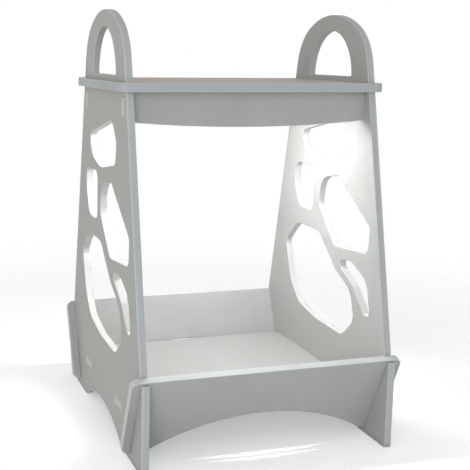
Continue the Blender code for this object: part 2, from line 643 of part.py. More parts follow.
def build_leads(mats):
    """Three leads inside the cover: socket to switch, and the two that join the cable."""
    back = VALANCE_Y - BOARD
    z = SWITCH_Z
    socket_end, switch_end = back - 5 * MM, back - 10.6 * MM
    cable_x = COVER_X - COVER_SIZE[0] / 2 + 3 * MM + GAP
    cable_y, cable_z = COVER_CABLE
    routes = {
        "lead_socket_to_switch": [
            (SOCKET_X + 2 * MM, socket_end, z + 2 * MM), (SOCKET_X + 3 * MM, socket_end - 7 * MM, z + 3 * MM),
            (SWITCH_X - 8 * MM, switch_end - 6 * MM, z + 2 * MM), (SWITCH_X - 3 * MM, switch_end - 3 * MM, z),
            (SWITCH_X - 3 * MM, switch_end, z),
        ],
        "lead_switch_to_cable": [
            (cable_x, cable_y - 0.9 * MM, cable_z), (cable_x + 6 * MM, cable_y - 3 * MM, cable_z - 2 * MM),
            (SOCKET_X + 10 * MM, cable_y - 6 * MM, z - 5 * MM),
            (SWITCH_X + 2 * MM, cable_y - 4 * MM, z - 3 * MM), (SWITCH_X + 3 * MM, switch_end, z - 1 * MM),
        ],
        "lead_socket_to_cable": [
            (cable_x, cable_y + 0.9 * MM, cable_z), (cable_x + 5 * MM, cable_y + 1.5 * MM, cable_z - 3 * MM),
            (SOCKET_X - 3 * MM, socket_end - 4 * MM, z - 2 * MM), (SOCKET_X - 2 * MM, socket_end, z - 2 * MM),
        ],
    }
    for name, route in routes.items():
        tube(name, route, LEAD_R, mats["lead"])


def main():
    """Builds the whole stand."""
    clear_scene()
    board = material("painted_board", (0.39, 0.40, 0.38), 0.6)
    plate = material("painted_plate", (0.46, 0.42, 0.38), 0.6)
    mats = {
        "aluminium": material("aluminium_channel", (0.72, 0.73, 0.74), 0.35, 1.0),
        "diffuser": material("milky_diffuser", (0.9, 0.9, 0.88), 0.5),
        "led_board": material("white_led_board", (0.85, 0.85, 0.82), 0.45),
        "cap": material("grey_plastic", (0.36, 0.38, 0.38), 0.5),
        "clip": material("spring_steel", (0.6, 0.6, 0.6), 0.3, 1.0),
        "screw": material("zinc_steel", (0.62, 0.62, 0.6), 0.35, 1.0),
        "cable": material("white_cable", (0.78, 0.78, 0.76), 0.55),
        "lead": material("red_lead", (0.5, 0.04, 0.03), 0.5),
        "cover": material("light_grey_plastic", (0.40, 0.41, 0.40), 0.5),
        "switch": material("black_plastic", (0.025, 0.025, 0.025), 0.4),
        "button": material("black_gloss_plastic", (0.02, 0.02, 0.02), 0.3),
    }
    build_side_panels(board)
    build_top_plate(plate)
    build_valances(board)
    build_floor(board)
    build_skirts(board)
    for row, side in (("front", -1), ("rear", 1)):
        build_bar(row, side * BAR_Y, mats)
    build_cables(mats)
    build_switch(mats)
    build_socket(mats)
    build_cover(mats)
    build_leads(mats)


main()
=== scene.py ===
# %% [markdown]
# # A plant stand with grow lights
# The stand is a flat-pack of eight painted boards that slot into each other, with two LED bars under its
# top plate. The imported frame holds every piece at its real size. This script gives each piece the
# surface that it has in the hand: boards with rounded arrises, opal light covers, turned screw heads.

import math

import bmesh
import bpy
import numpy as np
from mathutils import Matrix, Vector
from mathutils.geometry import tessellate_polygon


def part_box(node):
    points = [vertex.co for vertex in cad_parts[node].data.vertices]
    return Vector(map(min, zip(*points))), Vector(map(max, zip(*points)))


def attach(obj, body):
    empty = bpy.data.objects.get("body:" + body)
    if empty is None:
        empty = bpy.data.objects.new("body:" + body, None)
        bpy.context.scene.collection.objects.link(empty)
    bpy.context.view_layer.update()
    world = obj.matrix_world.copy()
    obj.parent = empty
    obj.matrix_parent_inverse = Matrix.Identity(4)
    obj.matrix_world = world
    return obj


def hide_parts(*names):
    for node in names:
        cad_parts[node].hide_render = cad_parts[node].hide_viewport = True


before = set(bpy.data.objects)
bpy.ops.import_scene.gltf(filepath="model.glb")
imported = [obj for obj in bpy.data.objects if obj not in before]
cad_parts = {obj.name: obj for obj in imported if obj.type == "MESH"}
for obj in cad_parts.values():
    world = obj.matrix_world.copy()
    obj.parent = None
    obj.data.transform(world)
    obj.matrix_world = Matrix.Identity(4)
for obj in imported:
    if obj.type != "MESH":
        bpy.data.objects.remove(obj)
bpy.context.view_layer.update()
MM = 0.001
GAP = 0.3 * MM  # clearance between parts that fit together
print("pieces in the frame:", len(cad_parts))

# %% [markdown]
# ## The camera
# The photograph was taken from the front left, a little above the top plate, so the picture's centre is
# right of and below the lens axis. A camera is placed by three turns: about the vertical for its heading,
# about its own X for its tilt and about its own Z for its roll. The shift then moves the frame sideways
# without turning the camera, as the crop of the photograph did.

# %% Place the camera
PICTURE = 470  # pixels, both ways
SENSOR = 36.0  # millimetres, Blender's default width
CAMERA_AT = Vector((-484.4, -1251.4, 520.0)) * MM
HEADING, TILT, ROLL = math.radians(16.97), math.radians(9.18), math.radians(0.69)
FOCAL_PIXELS = 938.0
AXIS_PIXEL = (153.0, 205.0)  # where the lens axis meets the picture

camera = bpy.data.objects.new("camera", bpy.data.cameras.new("camera"))
camera.data.sensor_width = SENSOR
camera.data.lens = FOCAL_PIXELS / PICTURE * SENSOR
camera.data.shift_x = (PICTURE / 2 - AXIS_PIXEL[0]) / PICTURE
camera.data.shift_y = (AXIS_PIXEL[1] - PICTURE / 2) / PICTURE
heading = Matrix.Rotation(-HEADING, 4, "Z")
tilt = Matrix.Rotation(math.pi / 2 - TILT, 4, "X")
roll = Matrix.Rotation(ROLL, 4, "Z")
camera.matrix_world = Matrix.Translation(CAMERA_AT) @ heading @ tilt @ roll
bpy.context.scene.collection.objects.link(camera)
bpy.context.scene.camera = camera
print("lens", round(camera.data.lens, 1), "mm")
print("shift", round(camera.data.shift_x, 3), "across,", round(camera.data.shift_y, 3), "up")

# %% [markdown]
# ## Colours and nodes
# Paint charts and pictures give colours as sRGB hex values, while shaders add up light, so one function
# turns the first into the second. One more adds a node with its settings and links. Every pattern reads
# Object coordinates, which are metres here, so its scale follows from a real size.

# %% Colour and node helpers
def linear(code):
    """Turns an sRGB hex colour into linear RGBA: below 0.04045 divide by 12.92, above use the 2.4 power."""
    value = np.array([int(code[i:i + 2], 16) for i in (1, 3, 5)]) / 255
    low, high = value / 12.92, ((value + 0.055) / 1.055) ** 2.4
    return (*np.where(value <= 0.04045, low, high).tolist(), 1.0)


def add_node(tree, kind, settings=None, inputs=None):
    """Adds a node. Settings are its own properties; inputs are values or the sockets that feed them."""
    new = tree.nodes.new(kind)
    for name, value in (settings or {}).items():
        setattr(new, name, value)
    for name, value in (inputs or {}).items():
        if isinstance(value, bpy.types.NodeSocket):
            tree.links.new(value, new.inputs[name])
        else:
            new.inputs[name].default_value = value
    return new


def new_material(name, colour, roughness, metallic=0.0):
    """A material with its Principled shader, and the Object coordinates that its patterns read."""
    material = bpy.data.materials.new(name)
    material.use_nodes = True
    tree = material.node_tree
    shader = tree.nodes["Principled BSDF"]
    shader.inputs["Base Color"].default_value = linear(colour)
    shader.inputs["Roughness"].default_value = roughness
    shader.inputs["Metallic"].default_value = metallic
    place = add_node(tree, "ShaderNodeTexCoord").outputs["Object"]
    return material, tree, shader, place


def per(size):
    """The texture scale that gives features of a real size in metres."""
    return 1 / size


print("sRGB #808080 is", round(linear("#808080")[0], 3), "in linear light")

# %% [markdown]
# ## Painted board
# The boards are routed from 10 mm MDF and rolled with a matt water-based paint. A foam roller leaves a fine
# stipple, and the paint lies a little unevenly, so the tone drifts by a few percent over a hand's
# width. The routed edges drink more paint and are sanded between coats, which leaves them cooler and a
# shade lighter. The tenon ends, sanded flush with the side boards' outer faces, are lighter still. The
# cells' walls are painted paler again: painted light, as if the lamps inside the stand shone on them. On
# the arrises, where hands and tables touch, the paint is worn paler, and the feet pick up a little dirt.
# The stipple of a real roller is about 0.5 mm. It is drawn at 1.6 mm here, as fine as the picture can show.

# %% Layers of the paint
OUTER_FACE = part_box("right_side_panel")[1][0]
SANDED_DEPTH = 3 * MM  # from the outer face inwards, where the tone of a sanded tenon sets in
DIRT_TOP = 9 * MM
# The first of these tones is painted light: the pale of the cells' walls, where the lamps inside the stand
# shine on them. The second is the worn arrises, the third the feet's dirt.
LAMPLIT_WALL, RUBBED, DIRT = "#CBCBC8", "#D2D6D6", "#77736C"


def rolled_coat(tree, place, face, drift):
    """The colour of a rolled face, and the cloud and streak that its tone drifts with."""
    cloud = add_node(tree, "ShaderNodeTexNoise",
                     inputs={"Vector": place, "Scale": per(90 * MM), "Detail": 3.0})
    rolled = add_node(tree, "ShaderNodeMapping", inputs={"Vector": place, "Scale": (1.0, 1.0, 0.12)})
    streak = add_node(tree, "ShaderNodeTexNoise",
                      inputs={"Vector": rolled.outputs["Vector"], "Scale": per(14 * MM), "Detail": 2.0})
    tone = add_node(tree, "ShaderNodeMix", {"data_type": "FLOAT"},
                    {"Factor": 0.35, "A": cloud.outputs["Fac"], "B": streak.outputs["Fac"]})
    spread = add_node(tree, "ShaderNodeMapRange",
                      inputs={"Value": tone.outputs["Result"], "From Min": 0.32, "From Max": 0.68})
    coat = add_node(tree, "ShaderNodeMix", {"data_type": "RGBA"},
                    {"Factor": spread.outputs["Result"], 6: linear(face), 7: linear(drift)})
    return coat.outputs[2], cloud.outputs["Fac"], streak.outputs["Fac"]


def cut_walls(tree, across, edge, end):
    """The colour of routed edges: their own tone, a tenon's sanded end, and the painted lamplight on the
    cells' walls.
    """
    away = add_node(tree, "ShaderNodeMath", {"operation": "ABSOLUTE"}, {0: across})
    outer = add_node(tree, "ShaderNodeMapRange",
                     inputs={"Value": away.outputs["Value"], "From Min": OUTER_FACE - SANDED_DEPTH,
                             "From Max": OUTER_FACE})
    sanded = add_node(tree, "ShaderNodeMix", {"data_type": "RGBA"},
                      {"Factor": outer.outputs["Result"], 6: linear(edge), 7: linear(end)})
    # Painted light: the cells' walls turn paler, as if the lamps inside shone on them.
    lamplit_walls = add_node(tree, "ShaderNodeAttribute", {"attribute_name": "lamplit_wall"})
    walls = add_node(tree, "ShaderNodeMix", {"data_type": "RGBA"},
                     {"Factor": lamplit_walls.outputs["Fac"], 6: sanded.outputs[2], 7: linear(LAMPLIT_WALL)})
    return walls.outputs[2]


def touched(tree, place, height, sides, streak):
    """The same paint after use: paler on the arrises and dirtier on the lowest part of the feet."""
    arris = add_node(tree, "ShaderNodeAttribute", {"attribute_name": "arris"})
    rubbed = add_node(tree, "ShaderNodeTexNoise",
                      inputs={"Vector": place, "Scale": per(22 * MM), "Detail": 4.0})
    wear = add_node(tree, "ShaderNodeMath", {"operation": "MULTIPLY"},
                    {0: arris.outputs["Fac"], 1: rubbed.outputs["Fac"]})
    pale = add_node(tree, "ShaderNodeMix", {"data_type": "RGBA"},
                    {"Factor": wear.outputs["Value"], 6: sides, 7: linear(RUBBED)})
    low = add_node(tree, "ShaderNodeMapRange",
                   inputs={"Value": height, "From Min": 0.0, "From Max": DIRT_TOP, "To Min": 1.0,
                           "To Max": 0.0})
    scuff = add_node(tree, "ShaderNodeMath", {"operation": "MULTIPLY"},
                     {0: low.outputs["Result"], 1: streak})
    soiled = add_node(tree, "ShaderNodeMix", {"data_type": "RGBA"},
                      {"Factor": scuff.outputs["Value"], 6: pale.outputs[2], 7: linear(DIRT)})
    return soiled.outputs[2]


print("tenon ends turn paler from", round((OUTER_FACE - SANDED_DEPTH) / MM, 1), "mm outwards")

# %% [markdown]
# ### Three paints
# The boards share one recipe and differ only in their tones. The skirts' edges are painted paler: painted
# light falling on them from above. The plate's faces are painted warmer: a painted reflection of warm
# surroundings. The attribute that the board builder writes, further down, tells a face from a cut edge.

# %% Paint for the boards
def painted_mdf(name, face, drift, edge, end):
    """Matt paint on routed MDF: a face colour and the tone it drifts to, then cut edges and tenon ends."""
    material, tree, shader, place = new_material(name, face, 0.58)
    split = add_node(tree, "ShaderNodeSeparateXYZ", inputs={"Vector": place})
    coat, cloud, streak = rolled_coat(tree, place, face, drift)
    walls = cut_walls(tree, split.outputs["X"], edge, end)
    cut = add_node(tree, "ShaderNodeAttribute", {"attribute_name": "cut_edge"})
    sides = add_node(tree, "ShaderNodeMix", {"data_type": "RGBA"},
                     {"Factor": cut.outputs["Fac"], 6: coat, 7: walls})
    used = touched(tree, place, split.outputs["Z"], sides.outputs[2], streak)
    tree.links.new(used, shader.inputs["Base Color"])
    gloss = add_node(tree, "ShaderNodeMapRange",
                     inputs={"Value": cloud, "From Min": 0.3, "From Max": 0.7, "To Min": 0.52,
                             "To Max": 0.64})
    tree.links.new(gloss.outputs["Result"], shader.inputs["Roughness"])
    stipple = add_node(tree, "ShaderNodeTexNoise",
                       inputs={"Vector": place, "Scale": per(1.6 * MM), "Detail": 2.0})
    relief = add_node(tree, "ShaderNodeBump",
                      inputs={"Strength": 0.35, "Distance": 0.06 * MM, "Height": stipple.outputs["Fac"]})
    tree.links.new(relief.outputs["Normal"], shader.inputs["Normal"])
    return material


board_paint = painted_mdf("matt_painted_mdf", "#A8A9A5", "#AFB0AD", "#B0B4B4", "#C2C5C2")
# The skirts' edges and ear ends are painted paler than the others: painted light falling on them from above.
skirt_paint_lit_edges = painted_mdf("matt_painted_mdf_skirt_lit_edges", "#A8A9A5", "#AFB0AD", "#C4C8C6", "#C8CBCA")
# The plate's faces are painted warmer than its edges: a painted reflection of warm surroundings.
plate_paint = painted_mdf("matt_painted_mdf_plate", "#B1A39A", "#B8ABA2", "#ADB1B3", "#ADB1B3")
print("nodes in the paint:", len(board_paint.node_tree.nodes))

# %% [markdown]
# ## Arcs and rounded corners
# A routed outline is made of straight cuts and arcs, because a router bit is round. So every outline here
# is a chain of arcs with straight stretches between their ends. The normals come from the same formula,
# which keeps long straight walls evenly lit: a normal averaged from the facets would tilt at their ends.

# %% Arcs
SAG = 0.012 * MM  # how far a chord may lie inside its arc


def chain(centres, radii, starts, sweeps):
    """Points and normals along arcs that follow each other.

    A point is centre + radius * (cos t, sin t), with t from start to start + sweep. Its normal is
    (cos t, sin t), turned round where the arc runs clockwise. Each arc has as many steps as its sag needs.
    """
    steps = np.ceil(np.abs(sweeps) / np.sqrt(8 * SAG / np.maximum(radii, SAG))).astype(int) + 2
    count = steps + 1
    which = np.repeat(np.arange(len(steps)), count)
    place = np.arange(count.sum()) - np.repeat(np.cumsum(count) - count, count)
    t = starts[which] + sweeps[which] * place / steps[which]
    ray = np.stack([np.cos(t), np.sin(t)], axis=1)
    return centres[which] + radii[which, None] * ray, ray * np.sign(sweeps[which])[:, None]


def rounded(corners, radii, limit=0.49):
    """An outline through corners, each of them turned into an arc that touches both its sides.

    In a corner of half angle h an arc of radius r starts r / tan(h) from the corner, and its centre lies
    r / sin(h) along the bisector. No arc reaches further than the limit's share of its shorter side.
    """
    here = np.asarray(corners, float)
    before, after = np.roll(here, 1, 0) - here, np.roll(here, -1, 0) - here
    side = np.linalg.norm(before, axis=1), np.linalg.norm(after, axis=1)
    before, after = before / side[0][:, None], after / side[1][:, None]
    half = np.arccos(np.clip((before * after).sum(1), -1, 1)) / 2
    reach = np.minimum(np.broadcast_to(radii, half.shape) / np.tan(half), limit * np.minimum(*side))
    radius = reach * np.tan(half)
    middle = before + after
    middle /= np.linalg.norm(middle, axis=1)[:, None]
    centre = here + middle * (radius / np.sin(half))[:, None]
    first, last = here + before * reach[:, None] - centre, here + after * reach[:, None] - centre
    start = np.arctan2(first[:, 1], first[:, 0])
    sweep = np.arctan2(last[:, 1], last[:, 0]) - start
    sweep = (sweep + math.pi) % (2 * math.pi) - math.pi
    return chain(centre, radius, start, sweep)


def bow(half, rise):
    """Radius of an arc with that half chord and rise, and how far beyond the chord its end tangents meet."""
    return (half ** 2 + rise ** 2) / (2 * rise), half * math.tan(2 * math.atan(rise / half))


# The share of its radius that a bow gets in an outline, which leaves room for the small arcs at its ends
LONG_BOW, SHORT_BOW = 0.985, 0.97
print("points on a 5 mm corner:", len(rounded([(0, 0), (1, 0), (1, 1)], 5 * MM)[0]) // 3)

# %% [markdown]
# ## Whole outlines
# A solid's outline runs anticlockwise and its holes run clockwise, so that a wall built along either faces
# out of the material. Most parts are the same on the left and on the right, and only one half is written
# down.

# %% Outlines
def wound(outline, hole=False):
    """The same outline run anticlockwise, or clockwise round a hole, with its normals out of the solid."""
    points, normals = outline
    x, y = points.T
    area = (x * np.roll(y, -1) - y * np.roll(x, -1)).sum()
    if (area > 0) == hole:
        points, normals = points[::-1], -normals[::-1]
    return points, normals


def rectangle(x0, x1, y0, y1):
    """The corners of an upright rectangle."""
    return np.array([(x0, y0), (x1, y0), (x1, y1), (x0, y1)])


def mirrored_outline(corners, limit=0.99):
    """A symmetrical outline from the (place, radius) corners of its right half, middle line first."""
    half = np.array([place for place, radius in corners])
    radii = np.array([radius for place, radius in corners])
    doubled = np.abs(half[::-1, 0]) > 1e-7
    places = np.concatenate([half, (half * (-1, 1))[::-1][doubled]])
    return rounded(places, np.concatenate([radii, radii[::-1][doubled]]), limit)


def circle(centre, radius):
    """A full circle as one arc. Its last point stops one step short of the first."""
    full_turn = np.array([2 * math.pi])
    points, normals = chain(np.array([centre], float), np.array([radius]), np.zeros(1), full_turn)
    return points[:-1], normals[:-1]


print("points on a circle of 5 mm:", len(circle((0, 0), 5 * MM)[0]))

# %% [markdown]
# ## From arrays to pieces
# A mesh needs points, faces and a finish. A piece also needs to know which imported nodes it stands for
# and which body it moves with. A drawing is laid in space by a matrix whose columns are the directions
# that its own axes take.

# %% Laying, naming and making a piece
def seat(origin, across, up):
    """Lays a drawing in space: its X along across, its Y along up, its thickness square to both."""
    across, up = Vector(across), Vector(up)
    matrix = Matrix((across, up, across.cross(up))).transposed().to_4x4()
    matrix.translation = Vector(origin)
    return matrix


def settle(piece, nodes, body):
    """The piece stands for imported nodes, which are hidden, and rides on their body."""
    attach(piece, body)
    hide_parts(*nodes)
    return piece


def make_piece(name, points, faces, material, nodes, body="stand", normals=None, marks=None):
    """A smooth mesh from arrays, with its own normals and the attributes that its finish reads."""
    mesh = bpy.data.meshes.new(name)
    mesh.from_pydata(points.tolist(), [], faces)
    mesh.shade_smooth()
    for mark, values in (marks or {}).items():
        mesh.attributes.new(mark, "FLOAT", "POINT").data.foreach_set("value", values.astype(np.float32))
    mesh.materials.append(material)
    if normals is not None:
        mesh.normals_split_custom_set_from_vertices(normals.tolist())
    piece = bpy.data.objects.new(name, mesh)
    bpy.context.scene.collection.objects.link(piece)
    return settle(piece, nodes, body)


# %% [markdown]
# ## A board from its outlines
# Cutting a box with Booleans would leave ragged triangles beside every arris, and a Bevel modifier has
# trouble where arcs meet. So one profile is carried round each outline instead: a narrow flat rim, a
# quarter circle, the wall, another quarter circle and the other rim. The two flat faces are then filled
# between the rims. Three attributes ride along for the paint: how far a point is on the cut edge, how
# close to the middle of the arris, and whether its wall gets the painted lamplight of the cells.

# %% Board builder
ARRIS_STEPS = 4


def board(name, outlines, thickness, matrix, material, node, arris=0.8 * MM, rim=0.6 * MM, body="stand",
          lamplit_walls=()):
    """A flat piece with rounded arrises, from its outer outline and the outlines of its holes.

    The last argument lists the places, in that list, of the outlines whose walls get painted light: paler, as
    if the lamps inside shone on them.

    The profile's points are (inset, height): the rim's start, a quarter circle of inset a(1 - sin t) and
    height a(1 - cos t), and the same mirrored at the other face. A surface point is the outline's point
    less inset times its normal, at that height; the normal leans from the face's to the outline's by t.
    """
    turn = np.linspace(0, math.pi / 2, ARRIS_STEPS + 1)
    inset, height = arris * (1 - np.sin(turn)), arris * (1 - np.cos(turn))
    inset = np.concatenate([[arris + rim], inset, inset[::-1], [arris + rim]])
    height = np.concatenate([[0], height, thickness - height[::-1], [thickness]])
    lean = np.concatenate([[0], np.sin(turn), np.sin(turn)[::-1], [0]])
    rise = np.concatenate([[-1], -np.cos(turn), np.cos(turn)[::-1], [1]])
    rows = len(inset)
    points, normals, faces, top, bottom, base = [], [], [], [], [], 0
    for outline, out in outlines:
        count = len(outline)
        flat = outline[None] - inset[:, None, None] * out[None]
        level = np.broadcast_to(height[:, None, None], (rows, count, 1))
        points.append(np.concatenate([flat, level], 2).reshape(-1, 3))
        slope = lean[:, None, None] * out[None]
        level = np.broadcast_to(rise[:, None, None], (rows, count, 1))
        normals.append(np.concatenate([slope, level], 2).reshape(-1, 3))
        grid = base + np.arange(rows * count).reshape(rows, count)
        right = np.roll(grid, -1, 1)
        faces += np.stack([grid[:-1], right[:-1], right[1:], grid[1:]], 2).reshape(-1, 4).tolist()
        bottom.append(grid[0])
        top.append(grid[-1])
        base += rows * count
    points, normals = np.concatenate(points), np.concatenate(normals)
    for rings, up in ((top, True), (bottom, False)):
        index = np.concatenate(rings)
        loops = [np.column_stack([points[ring, :2], 0 * ring]) for ring in rings]
        fill = np.array(tessellate_polygon(loops))
        corner = points[index[fill]][:, :, :2]
        a, b = corner[:, 1] - corner[:, 0], corner[:, 2] - corner[:, 0]
        wrong = (a[:, 0] * b[:, 1] - a[:, 1] * b[:, 0] > 0) != up
        fill[wrong] = fill[wrong][:, ::-1]
        faces += index[fill].tolist()
    counts = [len(outline) for outline, out in outlines]
    marks = {"cut_edge": np.concatenate([np.repeat(lean, n) for n in counts]),
             "arris": np.concatenate([np.repeat(2 * lean * np.abs(rise), n) for n in counts]),
             # Painted light: marks the cells' walls, which are painted paler as if lit by the lamps inside.
             "lamplit_wall": np.concatenate([np.repeat(lean * (i in lamplit_walls), n) for i, n in enumerate(counts)])}
    matrix = np.array(matrix)
    points = points @ matrix[:3, :3].T + matrix[:3, 3]
    return make_piece(name, points, faces, material, [node], body, normals @ matrix[:3, :3].T, marks)


print("rows of points round a board's edge:", 2 * ARRIS_STEPS + 4)

# %% [markdown]
# ## Side boards
# Each side board is one trapezoid that runs from its feet to the arch of its handle. Two slots at the
# bottom take the leaning skirts, and five rounded cells of unequal size let air and light through. The
# cells are not circles or ovals: each is a polygon whose corners have a radius each, tight or wide, like the
# gaps between pebbles. The outline is drawn in depth and height, so both boards are one function.

# %% Sizes of the side boards
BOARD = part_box("left_side_panel")[1][0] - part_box("left_side_panel")[0][0]
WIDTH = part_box("right_side_panel")[1][0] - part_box("left_side_panel")[0][0]
PLATE_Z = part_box("top_plate")[0][2]
PANEL_HALF_TOP, PANEL_HALF_LOW = 116 * MM, 192 * MM  # half depth at the plate and at the top of the skirts
SKIRT_Y, SKIRT_Z, SKIRT_LEAN = 198.5 * MM, 121 * MM, math.radians(24)
SKIRT_LAP = 61 * MM
FOOT_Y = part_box("left_side_panel")[1][1]
HORN_Z = 117.5 * MM
FOOT_ARCH_HALF, FOOT_ARCH_RISE = 104 * MM, 27 * MM
APEX_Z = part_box("left_side_panel")[1][2]
CROWN_RADIUS, CROWN_TURN = 145 * MM, math.radians(29)
GRIP_RADIUS, GRIP_CENTRE_Z, GRIP_Z, GRIP_CORNER = 65 * MM, 490.5 * MM, 491.5 * MM, 3 * MM
VALANCE_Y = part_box("rear_valance")[1][1]
VALANCE_TENON = (440 * MM, 465 * MM)
FLOOR_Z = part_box("shelf_floor")[0][2]
FLOOR_TENON = (68 * MM, 104 * MM)
# The cells' corners as (depth, height, radius) in millimetres, the front at negative depth
CELLS = {
    "upper": ((83, 405, 10), (68, 374, 30), (18, 362, 90), (-64, 374, 14), (-70, 404, 18), (-46, 433, 24)),
    "rear": ((34, 354, 12), (100, 355, 14), (103, 322, 40), (84, 285, 20), (35, 285, 14)),
    "middle": ((12, 340, 30), (-42, 349, 12), (-136, 289, 10), (-133, 252, 12), (-37, 244, 14),
               (19, 299, 18)),
    "large": ((129, 222, 12), (88, 258, 26), (14, 257, 26), (-42, 211, 60), (-90, 189, 30), (-103, 149, 20),
              (-70, 119, 24), (16, 121, 90), (74, 132, 40), (104, 160, 60)),
    "lower_front": ((-42, 225, 7), (-86, 233, 40), (-134, 213, 30), (-146, 165, 7), (-130, 165, 7),
                    (-98, 198, 40)),
}
SLOPE = (PANEL_HALF_LOW - PANEL_HALF_TOP) / (PLATE_Z - SKIRT_Z)
LEAN = math.atan(SLOPE)
print("side board", round(BOARD / MM, 1), "mm thick, leaning", round(math.degrees(LEAN), 1), "degrees")

# %% [markdown]
# ### Outline of a side board
# The handle is a three-centred arch, as a joiner draws it with a compass: a flat crown and two rounder
# shoulders, each arc touching the next. The shoulder's radius isn't chosen, it follows from the crown and
# the leaning side. The foot arch is a shallow bow. The slot for each skirt is drawn in the skirt's own
# direction, a distance down it and a distance out of it.

# %% Outline of a side board
def skirt_point(down, out):
    """(depth, height) on the rear skirt: a distance down the board, and one out from its outer face."""
    sine, cosine = math.sin(SKIRT_LEAN), math.cos(SKIRT_LEAN)
    return SKIRT_Y - down * sine + out * cosine, SKIRT_Z - down * cosine - out * sine


def handle_corners():
    """The corners that become the handle's shoulder arc and its crown.

    The crown ends at a point J, where it has turned by CROWN_TURN. The shoulder's radius r is the one whose
    circle touches the crown's at J and the leaning side. Its corner lies r * tan(half its sweep) from J. It
    is drawn 2% smaller than that, so that a short straight stretch parts it from the crown.
    """
    side = PANEL_HALF_TOP * math.cos(LEAN) + PLATE_Z * math.sin(LEAN)
    meet = math.sin(CROWN_TURN + LEAN)
    crown_z = APEX_Z - CROWN_RADIUS
    radius = (side - crown_z * math.sin(LEAN) - CROWN_RADIUS * meet) / (1 - meet)
    reach = CROWN_RADIUS * math.tan(CROWN_TURN) + radius * math.tan((math.pi / 2 - CROWN_TURN - LEAN) / 2)
    top = crown_z + CROWN_RADIUS / math.cos(CROWN_TURN)
    corner = (reach * math.cos(CROWN_TURN), top - reach * math.sin(CROWN_TURN))
    return [(corner, 0.98 * radius), ((0, top), CROWN_RADIUS)]


def side_outline():
    """The side board's outline: corners from the middle of the foot arch round the back up to the crown."""
    radius, beyond = bow(FOOT_ARCH_HALF, FOOT_ARCH_RISE)
    wall = skirt_point(0, -BOARD - GAP)
    rise = (PANEL_HALF_TOP + SLOPE * (PLATE_Z - wall[1]) - wall[0]) / (math.tan(SKIRT_LEAN) + SLOPE)
    return mirrored_outline([
        ((0, beyond), LONG_BOW * radius), ((FOOT_ARCH_HALF, 0), 5 * MM), ((FOOT_Y, 0), 2 * MM),
        ((FOOT_Y, HORN_Z), 1.6 * MM), (skirt_point((SKIRT_Z - HORN_Z) / math.cos(SKIRT_LEAN), GAP), 1.5 * MM),
        (skirt_point(SKIRT_LAP + GAP, GAP), 0.4 * MM), (skirt_point(SKIRT_LAP + GAP, -BOARD - GAP), 0.4 * MM),
        ((wall[0] + rise * math.tan(SKIRT_LEAN), wall[1] + rise), 1.5 * MM), *handle_corners()])


print("points on the outline:", len(side_outline()[0]))

# %% [markdown]
# ### Grip, slots and the finished boards
# The grip is a half disc, so the handle's limbs grow thicker towards the plate, where they carry the load.
# The slots are 0.3 mm wider than the tenons all round. One function makes both boards, since they are
# equal.

# %% Side boards
def grip_outline():
    """The grip: a half disc with a flat lower side and small corners that touch both."""
    inner, low = GRIP_RADIUS - GRIP_CORNER, GRIP_Z + GRIP_CORNER
    start = math.asin((low - GRIP_CENTRE_Z) / inner)
    reach = inner * math.cos(start)
    centres = np.array([(reach, low), (0, GRIP_CENTRE_Z), (-reach, low)])
    starts = np.array([-math.pi / 2, start, math.pi - start])
    sweeps = np.array([math.pi / 2 + start, math.pi - 2 * start, math.pi / 2 + start])
    return chain(centres, np.array([GRIP_CORNER, GRIP_RADIUS, GRIP_CORNER]), starts, sweeps)


def side_board(name, x, node):
    """One side board, with its cells, its grip and the slots that the valances and the floor come through."""
    cells = [np.array(corners) * MM for corners in CELLS.values()]
    holes = [rounded(cell[:, :2], cell[:, 2]) for cell in cells]
    holes.append(grip_outline())
    for side in (-1, 1):
        y0, y1 = sorted((side * (VALANCE_Y - BOARD), side * VALANCE_Y))
        slot = rectangle(y0 - GAP, y1 + GAP, VALANCE_TENON[0] - GAP, VALANCE_TENON[1] + GAP)
        holes.append(rounded(slot, 0.3 * MM))
        y0, y1 = sorted(side * depth for depth in FLOOR_TENON)
        holes.append(rounded(rectangle(y0 - GAP, y1 + GAP, FLOOR_Z - GAP, FLOOR_Z + BOARD + GAP), 0.3 * MM))
    outlines = [wound(side_outline())] + [wound(hole, hole=True) for hole in holes]
    # The cells' walls get painted light, paler as if the lamps inside shone on them.
    lamplit_walls = range(1, len(cells) + 1)
    return board(name, outlines, BOARD, seat((x, 0, 0), (0, 1, 0), (0, 0, 1)), board_paint, node, lamplit_walls=lamplit_walls)


for side in ("left", "right"):
    panel = f"{side}_side_panel"
    made = side_board(f"{side}_side_board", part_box(panel)[0][0], panel)
print("faces of a side board:", len(made.data.polygons))

# %% [markdown]
# ## Top plate
# The plate drops over the two handles and stops where the side boards grow as wide as its slots are long.
# It is the one board of 12 mm, with well-rounded corners. Its faces are painted a touch warmer than its
# edges: a painted reflection of warm surroundings.

# %% Top plate
PLATE_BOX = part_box("top_plate")
PLATE_CORNER = 12 * MM


def plate_outlines():
    """The plate's outer outline and the two slots for the handles."""
    (x0, y0), (x1, y1) = (corner[:2] for corner in PLATE_BOX)
    outlines = [wound(rounded(rectangle(x0, x1, y0, y1), PLATE_CORNER))]
    reach = PANEL_HALF_TOP + GAP
    for x in (-WIDTH / 2, WIDTH / 2 - BOARD):
        slot = rectangle(x - GAP, x + BOARD + GAP, -reach, reach)
        outlines.append(wound(rounded(slot, 0.4 * MM), hole=True))
    return outlines


# The plate's paint carries a painted warm reflection on its faces.
board("plate_board", plate_outlines(), PLATE_BOX[1][2] - PLATE_Z,
      seat((0, 0, PLATE_Z), (1, 0, 0), (0, 1, 0)), plate_paint, "top_plate", arris=1.0 * MM)
print("plate:", [round((high - low) / MM) for low, high in zip(*PLATE_BOX)], "mm")

